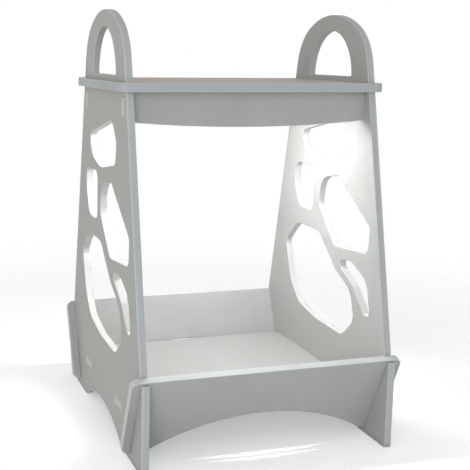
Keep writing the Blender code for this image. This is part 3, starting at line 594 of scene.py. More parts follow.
# %% [markdown]
# ## Valances
# The valances hide the lamps. Their lower edge bulges down by 7 mm in the middle, and a short tenon at each
# end comes out flush with the side board's outer face. The rear one is drilled for the switch and the
# socket. A bulge or arch with chord c and rise s is an arc of radius (c squared / 4 + s squared) / 2s. It
# is drawn here as one corner with a very large radius, so that its ends are rounded like any other corner.

# %% Valances
VALANCE_END, VALANCE_MIDDLE = 39 * MM, 46 * MM
INNER = WIDTH / 2 - BOARD - GAP
SWITCH_X, SOCKET_X, SWITCH_Z = -62 * MM, -88 * MM, 450 * MM
SWITCH_HOLE = (13.8 * MM, 9.6 * MM)
SOCKET_HOLE_R = 5.8 * MM


def valance_outline():
    """The valance with its bowed lower edge and its two tenons, in width and height."""
    radius, beyond = bow(INNER, VALANCE_MIDDLE - VALANCE_END)
    end, (low, high), top = PLATE_Z - VALANCE_END, VALANCE_TENON, PLATE_Z - GAP
    return mirrored_outline([
        ((0, end - beyond), LONG_BOW * radius), ((INNER, end), 1.6 * MM), ((INNER, low), 0.3 * MM),
        ((WIDTH / 2, low), 1.5 * MM), ((WIDTH / 2, high), 1.5 * MM), ((INNER, high), 0.3 * MM),
        ((INNER, top), 1.5 * MM)])


hole_x, hole_z = SWITCH_HOLE[0] / 2, SWITCH_HOLE[1] / 2
switch_hole = rectangle(SWITCH_X - hole_x, SWITCH_X + hole_x, SWITCH_Z - hole_z, SWITCH_Z + hole_z)
socket_hole = circle((SOCKET_X, SWITCH_Z), SOCKET_HOLE_R)
drilled = [wound(rounded(switch_hole, 0.3 * MM), hole=True), wound(socket_hole, hole=True)]
board("front_valance_board", [wound(valance_outline())], BOARD,
      seat((0, BOARD - VALANCE_Y, 0), (1, 0, 0), (0, 0, 1)), board_paint, "front_valance")
board("rear_valance_board", [wound(valance_outline())] + drilled, BOARD,
      seat((0, VALANCE_Y, 0), (1, 0, 0), (0, 0, 1)), board_paint, "rear_valance")
print("valance bow radius:", round(bow(INNER, VALANCE_MIDDLE - VALANCE_END)[0] / MM), "mm")

# %% [markdown]
# ### Floor and skirts
# The floor is a plain rectangle with two tenons at each end, which go through the side boards. A skirt ends
# about 10 mm above the table, so that the stand rests on the feet of its side boards only, and its lower
# edge is cut out to an arch. Its notches open downwards and the side boards' slots open upwards, so the two
# hook into each other.

# %% Floor and skirts
FLOOR_HALF_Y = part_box("shelf_floor")[1][1]
SKIRT_DEEP, SKIRT_HALF_X, SKIRT_CORNER = 122 * MM, 187 * MM, 9 * MM
SKIRT_ARC_HALF, SKIRT_ARC_TOP = 155 * MM, 74 * MM


def floor_outline():
    """The floor with two tenons at each end, in width and depth."""
    near, far = FLOOR_TENON
    quarter = [((INNER, near), 0.3 * MM), ((WIDTH / 2, near), 1.5 * MM), ((WIDTH / 2, far), 1.5 * MM),
               ((INNER, far), 0.3 * MM), ((INNER, FLOOR_HALF_Y), 4 * MM)]
    right = [((x, -y), radius) for (x, y), radius in quarter[::-1]] + quarter
    both = right + [((-x, y), radius) for (x, y), radius in right[::-1]]
    return rounded([place for place, radius in both], np.array([radius for place, radius in both]))


def skirt_outline():
    """A skirt in width and depth along the board, its top edge at zero and its notches open below."""
    radius, beyond = bow(SKIRT_ARC_HALF, SKIRT_DEEP - SKIRT_ARC_TOP)
    outer = WIDTH / 2 + GAP
    return mirrored_outline([
        ((0, beyond - SKIRT_DEEP), LONG_BOW * radius), ((SKIRT_ARC_HALF, -SKIRT_DEEP), 1.6 * MM),
        ((INNER, -SKIRT_DEEP), 1.5 * MM), ((INNER, -SKIRT_LAP), 0.4 * MM), ((outer, -SKIRT_LAP), 0.4 * MM),
        ((outer, -SKIRT_DEEP), 1.5 * MM), ((SKIRT_HALF_X, -SKIRT_DEEP), SKIRT_CORNER),
        ((SKIRT_HALF_X, 0), SKIRT_CORNER)])


board("floor_board", [wound(floor_outline())], BOARD,
      seat((0, 0, FLOOR_Z), (1, 0, 0), (0, 1, 0)), board_paint, "shelf_floor")
for row, side in (("front", -1), ("rear", 1)):
    up = Vector((0, side * math.sin(SKIRT_LEAN), math.cos(SKIRT_LEAN)))
    out = Vector((0, side * math.cos(SKIRT_LEAN), -math.sin(SKIRT_LEAN)))
    place = Vector((0, side * SKIRT_Y, SKIRT_Z)) - BOARD * out
    # The skirts take the paint whose edges carry painted light from above.
    board(f"{row}_skirt_board", [wound(skirt_outline())], BOARD, seat(place, (-side, 0, 0), up), skirt_paint_lit_edges,
          f"{row}_skirt")

# %% [markdown]
# ## Turned parts and cables
# An extruded section, such as the aluminium channel, is the same kind of solid as a board, only longer.
# Other small parts are turned or drawn: a turned part is a section carried round an axis, and a cable is a
# circle carried along a smooth curve. Both are rings of points with one skin over them, and keep exact
# normals.

# %% Turned parts
ROUND_SIDES = 64


def carry(name, rings, normals, material, node, matrix=None):
    """A closed skin over rings of points, one ring after another, with a flat face on the first and last."""
    rows, sides = rings.shape[:2]
    grid = np.arange(rows * sides).reshape(rows, sides)
    right = np.roll(grid, -1, 1)
    faces = np.stack([grid[:-1], right[:-1], right[1:], grid[1:]], 2).reshape(-1, 4).tolist()
    faces += [grid[0, ::-1].tolist(), grid[-1].tolist()]
    points, normals = rings.reshape(-1, 3), normals.reshape(-1, 3)
    if matrix is not None:
        turn = np.array(matrix)
        points, normals = points @ turn[:3, :3].T + turn[:3, 3], normals @ turn[:3, :3].T
    return make_piece(name, points, faces, material, [node], normals=normals)


def turned(name, corners, material, node, matrix):
    """A section of (radius, height, corner radius) corners carried round its own vertical axis.

    A point is (r cos t, r sin t, h) for t from 0 to 360 degrees. Its normal is the section's, turned by t.
    The section starts and ends on the flat faces at 0.01 mm from the axis.
    """
    section = [((r, h), size) for r, h, size in corners]
    both = section + [((-r, h), size) for (r, h), size in section[::-1]]
    points, out = wound(rounded([place for place, size in both], np.array([size for place, size in both])))
    first = int(np.argmax((points[:, 0] > 0) & (np.roll(points[:, 0], 1) <= 0)))
    points, out = np.roll(points, -first, 0), np.roll(out, -first, 0)
    keep = points[:, 0] > 0
    points, out = points[keep], out[keep]
    ends = np.array([[0.01 * MM, points[0, 1]], [0.01 * MM, points[-1, 1]]])
    points = np.concatenate([ends[:1], points, ends[1:]])
    out = np.concatenate([out[:1], out, out[-1:]])
    t = np.linspace(0, 2 * math.pi, ROUND_SIDES, endpoint=False)
    ray = np.stack([np.cos(t), np.sin(t)], 1)
    rings, lean = (np.concatenate([row[:, None, :1] * ray, np.repeat(row[:, None, 1:], ROUND_SIDES, 1)], 2)
                   for row in (points, out))
    return carry(name, rings, lean, material, node, matrix)


print("sides of a turned part:", ROUND_SIDES)

# %% [markdown]
# ### Cables
# A Bezier curve with a bevel would also give a round cable, but its handles are set by hand. A Catmull-Rom
# curve needs only the places that the cable passes, and runs through each of them.

# %% Cable builder
CABLE_SIDES, CABLE_STEPS = 20, 14  # points round a cable, and rings between two knots


def cable(name, knots, radius, material, node):
    """A round cable along a Catmull-Rom curve through its knots. No stretch of it points straight up.

    Between knots b and c, with a before them and d after them, the curve for u from 0 to 1 is
    b + (c - a) u / 2 + (2a - 5b + 4c - d) u^2 / 2 + (3b - a - 3c + d) u^3 / 2. The circle's two axes are
    square to the curve's slope, and one of them is level.
    """
    knots = np.array(knots)
    knots = np.concatenate([[2 * knots[0] - knots[1]], knots, [2 * knots[-1] - knots[-2]]])
    a, b, c, d = (knots[i:len(knots) - 3 + i, None] for i in range(4))
    u = np.linspace(0, 1, CABLE_STEPS, endpoint=False)[None, :, None]
    square, cube = 2 * a - 5 * b + 4 * c - d, 3 * b - a - 3 * c + d
    line = (b + ((c - a) * u + square * u ** 2 + cube * u ** 3) / 2).reshape(-1, 3)
    line = np.concatenate([line, knots[-2:-1]])
    slope = np.gradient(line, axis=0)
    slope /= np.linalg.norm(slope, axis=1)[:, None]
    level = np.cross(slope, (0, 0, 1))
    level /= np.linalg.norm(level, axis=1)[:, None]
    lifted = np.cross(slope, level)
    t = np.linspace(0, 2 * math.pi, CABLE_SIDES, endpoint=False)[None, :, None]
    out = level[:, None] * np.cos(t) + lifted[:, None] * np.sin(t)
    return carry(name, line[:, None] + radius * out, out, material, node)


print("rings between two knots:", CABLE_STEPS)

# %% [markdown]
# ## Moulded parts
# A moulded housing has many small flat faces, and its corners are rounded as the mould was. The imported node
# already has the right faces, in loose triangles. So its copy is merged, its flat faces are made whole, and
# a Bevel modifier rounds what is left: the true edges.

# %% Moulded parts
EDGE_SEGMENTS = 3


def moulded(name, node, material, radius):
    """A copy of a CAD node with its flat faces made whole and its sharp edges rounded by a Bevel."""
    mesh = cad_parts[node].data.copy()
    shape = bmesh.new()
    shape.from_mesh(mesh)
    bmesh.ops.remove_doubles(shape, verts=shape.verts, dist=2e-6)
    bmesh.ops.dissolve_limit(shape, angle_limit=math.radians(1), verts=shape.verts, edges=shape.edges)
    shape.to_mesh(mesh)
    shape.free()
    mesh.name = name
    mesh.materials.clear()
    mesh.materials.append(material)
    mesh.shade_smooth()
    piece = bpy.data.objects.new(name, mesh)
    bpy.context.scene.collection.objects.link(piece)
    soften = piece.modifiers.new("edges", "BEVEL")
    soften.width, soften.segments, soften.limit_method = radius, EDGE_SEGMENTS, "ANGLE"
    soften.angle_limit = math.radians(30)
    soften.harden_normals = True
    return settle(piece, [node], "stand")


print("faces round a moulded edge:", EDGE_SEGMENTS)

# %% [markdown]
# ## Finishes of the small parts
# Each finish is one material made by the same steps: a base tone drifting to a second one, a fine grain of
# a real size, stretched where the tool that made it moved in one direction, and a roughness that follows
# it.

# %% Finishes
def finish(name, colour, second, roughness, spread, grain, relief, metallic=0.0, stretch=(1, 1, 1)):
    """A worked surface: two tones, and a roughness give or take its spread, that drift with one grain.

    The grain also raises the surface by the relief. A stretch below 1 draws the grain out that way.
    """
    material, tree, shader, place = new_material(name, colour, roughness, metallic)
    pulled = add_node(tree, "ShaderNodeMapping", inputs={"Vector": place, "Scale": stretch})
    texture = add_node(tree, "ShaderNodeTexNoise",
                       inputs={"Vector": pulled.outputs["Vector"], "Scale": per(grain), "Detail": 4.0})
    fac = texture.outputs["Fac"]
    even = add_node(tree, "ShaderNodeMapRange", inputs={"Value": fac, "From Min": 0.3, "From Max": 0.7})
    tone = add_node(tree, "ShaderNodeMix", {"data_type": "RGBA"},
                    {"Factor": even.outputs["Result"], 6: linear(colour), 7: linear(second)})
    tree.links.new(tone.outputs[2], shader.inputs["Base Color"])
    gloss = add_node(tree, "ShaderNodeMapRange",
                     inputs={"Value": fac, "From Min": 0.3, "From Max": 0.7, "To Min": roughness - spread,
                             "To Max": roughness + spread})
    tree.links.new(gloss.outputs["Result"], shader.inputs["Roughness"])
    bump = add_node(tree, "ShaderNodeBump", inputs={"Strength": 0.4, "Distance": relief, "Height": fac})
    tree.links.new(bump.outputs["Normal"], shader.inputs["Normal"])
    return material


ALONG_X = (0.02, 1, 1)  # stretches a grain fifty times along the bar
# Extruded and anodised: faint lines along the bar, and a grey that blurs what it mirrors.
anodised = finish("anodised_aluminium", "#C3C6C8", "#B9BDC0", 0.36, 0.05, 0.5 * MM, 0.002 * MM, 1.0, ALONG_X)
# White solder mask, glossy and slightly uneven over the copper below it.
solder_mask = finish("white_solder_mask", "#EDEDE8", "#DCDDD6", 0.3, 0.06, 3 * MM, 0.02 * MM)
# Injection-moulded ABS from a spark-eroded mould: an even, fine matt grain.
grey_abs = finish("moulded_grey_abs", "#A2A5A5", "#989B9C", 0.48, 0.06, 0.7 * MM, 0.03 * MM)
# Spring strip, rolled and stamped: faint rolling lines across the clip.
ACROSS_CLIP = (1, 0.05, 1)
spring_strip = finish("rolled_spring_steel", "#C6C6C4", "#B6B7B7", 0.32, 0.05, 0.8 * MM, 0.001 * MM, 1.0,
                      ACROSS_CLIP)
# Zinc plating: cool patches of slightly different gloss.
zinc_plate = finish("zinc_plated_steel", "#C9CCCE", "#B6BBC0", 0.32, 0.06, 1.2 * MM, 0.001 * MM, 1.0)
# Soft PVC sheath: nearly white, with a dull sheen.
cable_pvc = finish("white_pvc_sheath", "#E2E2DE", "#D4D4D0", 0.46, 0.05, 1.5 * MM, 0.02 * MM)
# Moulded cover, the boards' grey but smoother.
cover_abs = finish("moulded_light_grey_abs", "#A9ABAA", "#9FA2A1", 0.46, 0.06, 0.8 * MM, 0.03 * MM)
# Glass-filled nylon: near black, with pale fibres that mottle its gloss.
black_nylon = finish("black_glass_filled_nylon", "#232425", "#2F3132", 0.42, 0.08, 0.6 * MM, 0.02 * MM)
# Silicone insulation: saturated red and dull.
red_silicone = finish("red_silicone_insulation", "#B0241C", "#98201A", 0.5, 0.05, 1.0 * MM, 0.01 * MM)
print("materials so far:", len(bpy.data.materials))

# %% [markdown]
# ## The light covers
# The covers are opal acrylic: the white pigment spreads the light of the LED chips so far that only a
# slight ripple at the chips' pitch is left. The covers are extruded, so their skin has faint lines along
# the bar. Here each cover is an emitter of nearly neutral white whose strength has that ripple and falls
# off towards the ends, so the lamps light the inside of the stand without burning out the side boards.

# %% Opal acrylic
BAR_Y, BAR_HALF_X, BAR_CAP, BAR_TOP_Z = 45 * MM, 140 * MM, 4 * MM, 469 * MM
BAR_END = BAR_HALF_X - BAR_CAP - GAP
CHIPS = 14
STRIP_SHORT = 8 * MM  # how much shorter the chips' row is than the cover
CHIP_PITCH = (2 * BAR_END - STRIP_SHORT) / CHIPS
LAMP_STRENGTH = 70.0
FULL_HALF = 30 * MM  # half the length that shines at full strength
END_SHARE = 0.12  # what is left of that strength at the ends

opal, tree, shader, place = new_material("lit_opal_acrylic", "#F2F1EC", 0.34)
along = add_node(tree, "ShaderNodeSeparateXYZ", inputs={"Vector": place})
turns = add_node(tree, "ShaderNodeMath", {"operation": "MULTIPLY"},
                 {0: along.outputs["X"], 1: math.tau / CHIP_PITCH})
wave = add_node(tree, "ShaderNodeMath", {"operation": "COSINE"}, {0: turns.outputs["Value"]})
ripple = add_node(tree, "ShaderNodeMapRange",
                  inputs={"Value": wave.outputs["Value"], "From Min": -1.0, "From Max": 1.0,
                          "To Min": 1.06 * LAMP_STRENGTH, "To Max": 0.94 * LAMP_STRENGTH})
from_middle = add_node(tree, "ShaderNodeMath", {"operation": "ABSOLUTE"}, {0: along.outputs["X"]})
to_end = add_node(tree, "ShaderNodeMapRange", {"interpolation_type": "SMOOTHSTEP"},
                  {"Value": from_middle.outputs["Value"], "From Min": FULL_HALF, "From Max": BAR_END,
                   "To Min": 1.0, "To Max": END_SHARE})
strength = add_node(tree, "ShaderNodeMath", {"operation": "MULTIPLY"},
                    {0: ripple.outputs["Result"], 1: to_end.outputs["Result"]})
shader.inputs["Emission Color"].default_value = linear("#FBFBFD")
tree.links.new(strength.outputs["Value"], shader.inputs["Emission Strength"])
drawn = add_node(tree, "ShaderNodeMapping", inputs={"Vector": place, "Scale": ALONG_X})
lines = add_node(tree, "ShaderNodeTexNoise",
                 inputs={"Vector": drawn.outputs["Vector"], "Scale": per(1.2 * MM), "Detail": 2.0})
skin = add_node(tree, "ShaderNodeBump",
                inputs={"Strength": 0.3, "Distance": 0.01 * MM, "Height": lines.outputs["Fac"]})
tree.links.new(skin.outputs["Normal"], shader.inputs["Normal"])
sheen = add_node(tree, "ShaderNodeMapRange",
                 inputs={"Value": lines.outputs["Fac"], "From Min": 0.3, "From Max": 0.7, "To Min": 0.28,
                         "To Max": 0.4})
tree.links.new(sheen.outputs["Result"], shader.inputs["Roughness"])
print("chip pitch:", round(CHIP_PITCH / MM, 1), "mm")

# %% [markdown]
# ## The light bars
# Each bar is an aluminium channel with a groove along each side. The opal cover stands in it, a moulded cap
# closes each end, and two spring clips, screwed to the plate, snap into the grooves. All four are sections
# swept straight along the bar, so they are made by the same function as the boards.

# %% Sections of the light bars
BAR_WIDE, BAR_HIGH, BAR_WALL = 24 * MM, 10 * MM, 1.5 * MM
GROOVE_DEEP, GROOVE_TOP, GROOVE_LOW = 0.7 * MM, 3 * MM, 5.5 * MM
LEDGE = 1 * MM  # thickness of the ledge inside each leg
COVER_WALL, COVER_SAG, COVER_LEG_TOP = 1.2 * MM, 4 * MM, 6.8 * MM
CAP_PROUD = 0.4 * MM
CLIP_THICK, HOOK_TOP, HOOK_LOW = 0.9 * MM, 4.4 * MM, 5.1 * MM
FINE = 0.12 * MM  # corner radius of an extrusion


def channel_outline():
    """A U that opens downwards, with a groove outside and a ledge inside on each leg."""
    half, wall, low = BAR_WIDE / 2, BAR_WALL, -GROOVE_LOW
    inner = half - wall - GROOVE_DEEP
    places = [(half, 0), (half, -GROOVE_TOP), (half - GROOVE_DEEP, -GROOVE_TOP), (half - GROOVE_DEEP, low),
              (half, low), (half, -BAR_HIGH), (half - wall, -BAR_HIGH), (half - wall, low - LEDGE),
              (half - 2 * wall, low - LEDGE), (half - 2 * wall, low), (inner, low), (inner, -wall)]
    return mirrored_outline([(place, FINE) for place in places])


def cover_outline():
    """The opal cover: a shallow bow of even thickness between two upright legs."""
    half = BAR_WIDE / 2 - BAR_WALL - GAP
    radius, beyond = bow(half, COVER_SAG)
    centre = radius - BAR_HIGH - COVER_SAG
    within, inside = half - COVER_WALL, radius - COVER_WALL
    low = centre - math.sqrt(inside ** 2 - within ** 2)
    inner_beyond = bow(within, inside - centre + low)[1]
    return mirrored_outline([
        ((0, -BAR_HIGH - beyond), SHORT_BOW * radius), ((half, -BAR_HIGH), 0.5 * MM),
        ((half, -COVER_LEG_TOP), 0.4 * MM), ((within, -COVER_LEG_TOP), 0.4 * MM),
        ((within, low), 0.3 * MM), ((0, low - inner_beyond), SHORT_BOW * inside)])


def cap_outline():
    """An end cap: the channel's and the cover's outline together, and a little proud of both."""
    half, top = BAR_WIDE / 2, 0.5 * MM
    radius, beyond = bow(half, COVER_SAG + CAP_PROUD)
    return mirrored_outline([((0, -BAR_HIGH - beyond), SHORT_BOW * radius), ((half, -BAR_HIGH), 1 * MM),
                             ((half, top), 1 * MM)])


def clip_outline():
    """A spring clip: a flat back and two arms, each with a hook that points into the channel's groove."""
    half, top = BAR_WIDE / 2 + GAP, PLATE_Z - GAP - BAR_TOP_Z
    hook, back = half - 0.5 * MM, half + CLIP_THICK
    return mirrored_outline([((back, top), 0.8 * MM), ((back, -HOOK_LOW), 0.3 * MM),
                             ((hook, -HOOK_LOW), 0.2 * MM), ((hook, -HOOK_TOP), 0.2 * MM),
                             ((half, -4.0 * MM), 0.3 * MM), ((half, top - CLIP_THICK), 0.3 * MM)])


print("points on the channel's section:", len(channel_outline()[0]))

# %% [markdown]
# ### Two light bars
# The bars are equal but for the holes in their end caps, since a cable goes in only where it is needed: at
# both right ends for the link, and at the rear bar's left end for the supply.

# %% Light bars
CLIP_X, CLIP_WIDE = 100 * MM, 12 * MM
CABLE_R, CABLE_Z, CABLE_BEND = 1.8 * MM, 464 * MM, 16 * MM

for row, y in (("front", -BAR_Y), ("rear", BAR_Y)):
    section = seat((-BAR_END, y, BAR_TOP_Z), (0, 1, 0), (0, 0, 1))
    board(f"{row}_channel", [wound(channel_outline())], 2 * BAR_END, section, anodised,
          f"light_channel_{row}", arris=0.08 * MM, rim=0.02 * MM)
    board(f"{row}_light_cover", [wound(cover_outline())], 2 * BAR_END, section, opal,
          f"light_diffuser_{row}", arris=0.15 * MM, rim=0.02 * MM)
    moulded(f"{row}_led_strip", f"led_board_{row}", solder_mask, 0.1 * MM)
    for end, side in (("left", -1), ("right", 1)):
        wired = end == "right" or row == "rear"
        hole = [wound(circle((0, CABLE_Z - BAR_TOP_Z), CABLE_R + GAP), hole=True)] if wired else []
        near = side * BAR_HALF_X - (BAR_CAP if side > 0 else 0)
        board(f"{row}_{end}_cap", [wound(cap_outline())] + hole, BAR_CAP,
              seat((near, y, BAR_TOP_Z), (0, 1, 0), (0, 0, 1)), grey_abs, f"light_end_cap_{row}_{end}",
              arris=0.6 * MM, rim=0.2 * MM)
        board(f"{row}_{end}_clip", [wound(clip_outline())], CLIP_WIDE,
              seat((side * CLIP_X - CLIP_WIDE / 2, y, BAR_TOP_Z), (0, 1, 0), (0, 0, 1)), spring_strip,
              f"light_clip_{row}_{end}", arris=0.1 * MM, rim=0.02 * MM)

# %% [markdown]
# ## Screws
# A pan head is a low dome with a cross recess pressed into it. The shank is inside the board, and its
# thread is a ridge that climbs by its pitch at each turn. Both are added to one turned surface: the recess
# as a depth that follows the place on the head, the thread as a radius that follows angle and depth.

# %% Screws
SCREW_HEAD, DOME = 1.2 * MM, 0.12 * MM  # heights of the head and of the low dome on it
DOME_SHARE = 0.72  # share of the head's radius inside its rounded rim
RECESS_DEEP, RECESS_HALF, RECESS_REACH = 0.8 * MM, 0.45 * MM, 1.6 * MM
THREAD_PITCH, THREAD_ROOT = 0.7 * MM, 0.82


def screw(name, core, length, head, node, matrix):
    """A pan-head screw along the matrix's axis, standing on its head.

    Rows run from the middle of the head over its rim and down the shank. The recess runs out where the
    smaller of |x| and |y| reaches RECESS_HALF or the larger reaches RECESS_REACH, and has its full depth
    0.15 mm and 0.3 mm before that. The thread's radius is the core's times a share between THREAD_ROOT and
    1, which is a triangle wave of height / pitch - t / 360 degrees. The tip tapers over its last 1.5 mm.
    """
    s = np.linspace(0, 1, 22)
    rim = np.linspace(0, math.pi / 2, 8)
    shank = np.linspace(0, 1, 60)
    face = np.stack([0.01 * MM + s * (head * DOME_SHARE), DOME * s ** 4], 1)
    edge = np.stack([head * (DOME_SHARE + (1 - DOME_SHARE) * np.sin(rim)),
                     DOME + SCREW_HEAD * 0.6 * (1 - np.cos(rim))], 1)
    under = np.array([(head, SCREW_HEAD - 0.1 * MM), (head - 0.1 * MM, SCREW_HEAD), (core, SCREW_HEAD)])
    taper = np.minimum(1, (1 - shank) * length / (1.5 * MM) + 0.2)
    stem = np.stack([core * taper, SCREW_HEAD + 0.2 * MM + shank * (length - 0.2 * MM)], 1)
    rows = np.concatenate([face, edge[1:], under, stem])
    t = np.linspace(0, 2 * math.pi, 96, endpoint=False)
    radius, height = np.broadcast_arrays(rows[:, :1], rows[:, 1:] + 0 * t)
    turn = (height / THREAD_PITCH - t / (2 * math.pi)) % 1
    on_stem = np.arange(len(rows))[:, None] >= len(rows) - len(stem)
    ridge = THREAD_ROOT + (1 - THREAD_ROOT) * (1 - np.abs(2 * turn - 1))
    radius = np.where(on_stem, radius * ridge, radius)
    x, y = radius * np.cos(t), radius * np.sin(t)
    near, far = np.minimum(np.abs(x), np.abs(y)), np.maximum(np.abs(x), np.abs(y))
    slot = np.clip((RECESS_HALF - near) / (0.15 * MM), 0, 1)
    slot *= np.clip((RECESS_REACH - far) / (0.3 * MM), 0, 1)
    height = height + np.where(np.arange(len(rows))[:, None] < len(face), RECESS_DEEP * slot, 0)
    grid = np.arange(x.size).reshape(x.shape)
    right = np.roll(grid, -1, 1)
    faces = np.stack([grid[1:], right[1:], right[:-1], grid[:-1]], 2).reshape(-1, 4).tolist()
    faces += [grid[0].tolist(), grid[-1, ::-1].tolist()]
    matrix = np.array(matrix)
    points = np.stack([x, y, height], 2).reshape(-1, 3) @ matrix[:3, :3].T + matrix[:3, 3]
    return make_piece(name, points, faces, zinc_plate, [node])


for row, y in (("front", -BAR_Y), ("rear", BAR_Y)):
    for end, side in (("left", -1), ("right", 1)):
        low = PLATE_Z - 2 * GAP - CLIP_THICK - SCREW_HEAD
        screw(f"{row}_{end}_screw", 1.5 * MM, 7.5 * MM, 3 * MM, f"clip_screw_{row}_{end}",
              seat((side * CLIP_X, y, low), (1, 0, 0), (0, 1, 0)))
for end in ("left", "right"):
    low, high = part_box(f"cover_screw_{end}")
    screw(f"cover_{end}_screw", 1.0 * MM, 7 * MM, 2.4 * MM, f"cover_screw_{end}",
          seat(((low[0] + high[0]) / 2, low[1], SWITCH_Z), (1, 0, 0), (0, 0, -1)))

# %% [markdown]
# ## Printed marks
# The ring and the bar on a rocker are pad-printed in white. They need no picture: a place on the rocker is
# on the ring where its distance from the ring's centre is the ring's radius, give or take half a line, and
# on the bar where it is close enough to the bar's centre both ways.

# %% Masks for printed marks
def offset_from(tree, place, point):
    """The vector from a point in (width, height) to the shaded place, without its depth."""
    shift = add_node(tree, "ShaderNodeVectorMath", {"operation": "SUBTRACT"},
                     {0: place, 1: (point[0], 0, point[1])})
    flat = add_node(tree, "ShaderNodeVectorMath", {"operation": "MULTIPLY"},
                    {0: shift.outputs["Vector"], 1: (1, 0, 1)})
    return flat.outputs["Vector"]


def ring_mask(tree, place, centre, radius, half_line):
    """One on a ring, zero elsewhere."""
    away = add_node(tree, "ShaderNodeVectorMath", {"operation": "LENGTH"},
                    {0: offset_from(tree, place, centre)})
    on = add_node(tree, "ShaderNodeMath", {"operation": "COMPARE"},
                  {0: away.outputs["Value"], 1: radius, 2: half_line})
    return on.outputs["Value"]


def bar_mask(tree, place, centre, half_length, half_line):
    """One on an upright bar, zero elsewhere."""
    parts = add_node(tree, "ShaderNodeSeparateXYZ", inputs={"Vector": offset_from(tree, place, centre)})
    wide = add_node(tree, "ShaderNodeMath", {"operation": "COMPARE"},
                    {0: parts.outputs["X"], 1: 0.0, 2: half_line})
    high = add_node(tree, "ShaderNodeMath", {"operation": "COMPARE"},
                    {0: parts.outputs["Z"], 1: 0.0, 2: half_length})
    both = add_node(tree, "ShaderNodeMath", {"operation": "MULTIPLY"},
                    {0: wide.outputs["Value"], 1: high.outputs["Value"]})
    return both.outputs["Value"]


def print_on(tree, mask, colour):
    """Lays a colour over what feeds the shader's base colour, where the mask is one."""
    base = tree.nodes["Principled BSDF"].inputs["Base Color"]
    over = add_node(tree, "ShaderNodeMix", {"data_type": "RGBA"},
                    {"Factor": mask, 6: base.links[0].from_socket, 7: linear(colour)})
    tree.links.new(over.outputs[2], base)


MARK_WHITE = "#E8E8E4"
HALF_LINE = 0.22 * MM
print("printed line:", 2 * HALF_LINE / MM, "mm wide")

# %% [markdown]
# ## Switch
# The switch is a bought part: a nylon housing pressed into the rear valance and a glossy rocker on a pivot.
# The rocker is a half drum whose outer face is dished between two raised ends, and it rides on its own
# body.

# %% Switch
ROCKER_R, ROCKER_WIDE, ROCKER_TILT = 5.4 * MM, 6.8 * MM, math.radians(10)


def rocker_outline():
    """The rocker's section in (along, outward) about its pivot: a half drum, two raised ends and a dish."""
    lift, crest = 3.2 * MM, 2.0 * MM
    return mirrored_outline([
        ((ROCKER_R, -ROCKER_R), ROCKER_R), ((ROCKER_R, 0.6 * MM), 0.3 * MM),
        ((ROCKER_R - 0.3 * MM, lift), 0.7 * MM), ((0, crest), 14 * MM)], limit=0.5)


# Polished nylon, so the dish shows as a soft highlight.
rocker_gloss = finish("polished_black_nylon", "#1B1B1C", "#222324", 0.2, 0.04, 4 * MM, 0.005 * MM)
tree = rocker_gloss.node_tree
place = tree.nodes["Texture Coordinate"].outputs["Object"]
MARK_OUT, RING_R, BAR_HALF = 2.9 * MM, 1.0 * MM, 1.2 * MM
print_on(tree, ring_mask(tree, place, (SWITCH_X + MARK_OUT, SWITCH_Z), RING_R, HALF_LINE), MARK_WHITE)
print_on(tree, bar_mask(tree, place, (SWITCH_X - MARK_OUT, SWITCH_Z), BAR_HALF, HALF_LINE), MARK_WHITE)

sine, cosine = math.sin(ROCKER_TILT), math.cos(ROCKER_TILT)
pivot = (SWITCH_X, VALANCE_Y, SWITCH_Z - ROCKER_WIDE / 2)
board("rocker", [wound(rocker_outline())], ROCKER_WIDE, seat(pivot, (cosine, -sine, 0), (sine, cosine, 0)),
      rocker_gloss, "rocker_button", arris=0.35 * MM, rim=0.1 * MM, body="rocker")
moulded("switch_body", "switch_housing", black_nylon, 0.3 * MM)
print("rocker tilted", round(math.degrees(ROCKER_TILT)), "degrees at rest")

# %% [markdown]
# ## Power socket and cover
# The socket passes through the valance and is held from behind by a nut. It is one turned section: the
# barrel, its flange, the bore for a plug and the pin in the middle of it. The pin's plated metal is told
# from the nylon by its distance from the axis. A moulded cover keeps damp off the wiring.

# %% Power socket and cover
BARREL_R, FLANGE_R, BORE_R, PIN_R = 5.5 * MM, 7 * MM, 3.2 * MM, 1 * MM
NUT_R, NUT_HIGH = 8 * MM, 2.4 * MM

socket_nylon = black_nylon.copy()
socket_nylon.name = "black_nylon_with_plated_pin"
tree = socket_nylon.node_tree
place = tree.nodes["Texture Coordinate"].outputs["Object"]
on_pin = ring_mask(tree, place, (SOCKET_X, SWITCH_Z), 0.0, PIN_R + 0.1 * MM)
print_on(tree, on_pin, "#D4D2C8")
tree.links.new(on_pin, tree.nodes["Principled BSDF"].inputs["Metallic"])

turned("socket_barrel", [
    (BARREL_R, -14 * MM, 0.4 * MM), (BARREL_R, 0, 0.2 * MM), (FLANGE_R, 0, 0.3 * MM),
    (FLANGE_R, 1.2 * MM, 0.5 * MM), (FLANGE_R - 0.8 * MM, 2 * MM, 0.5 * MM), (BORE_R, 2 * MM, 0.4 * MM),
    (BORE_R, -9 * MM, 0.3 * MM), (PIN_R, -9 * MM, 0.2 * MM), (PIN_R, -0.5 * MM, 0.4 * MM)],
    socket_nylon, "power_socket", seat((SOCKET_X, VALANCE_Y + GAP, SWITCH_Z), (1, 0, 0), (0, 0, -1)))
corner = np.arange(6) * math.pi / 3
hexagon = NUT_R * np.stack([np.cos(corner), np.sin(corner)], 1)
board("nut", [wound(rounded(hexagon, 0.6 * MM)), wound(circle((0, 0), SOCKET_HOLE_R), hole=True)], NUT_HIGH,
      seat((SOCKET_X, VALANCE_Y - BOARD - GAP, SWITCH_Z), (1, 0, 0), (0, 0, 1)), zinc_plate, "socket_nut",
      arris=0.3 * MM, rim=0.1 * MM)
moulded("rear_cover", "wiring_cover", cover_abs, 0.5 * MM)
print("nut across its flats:", round(2 * NUT_R * math.cos(math.pi / 6) / MM, 1), "mm")

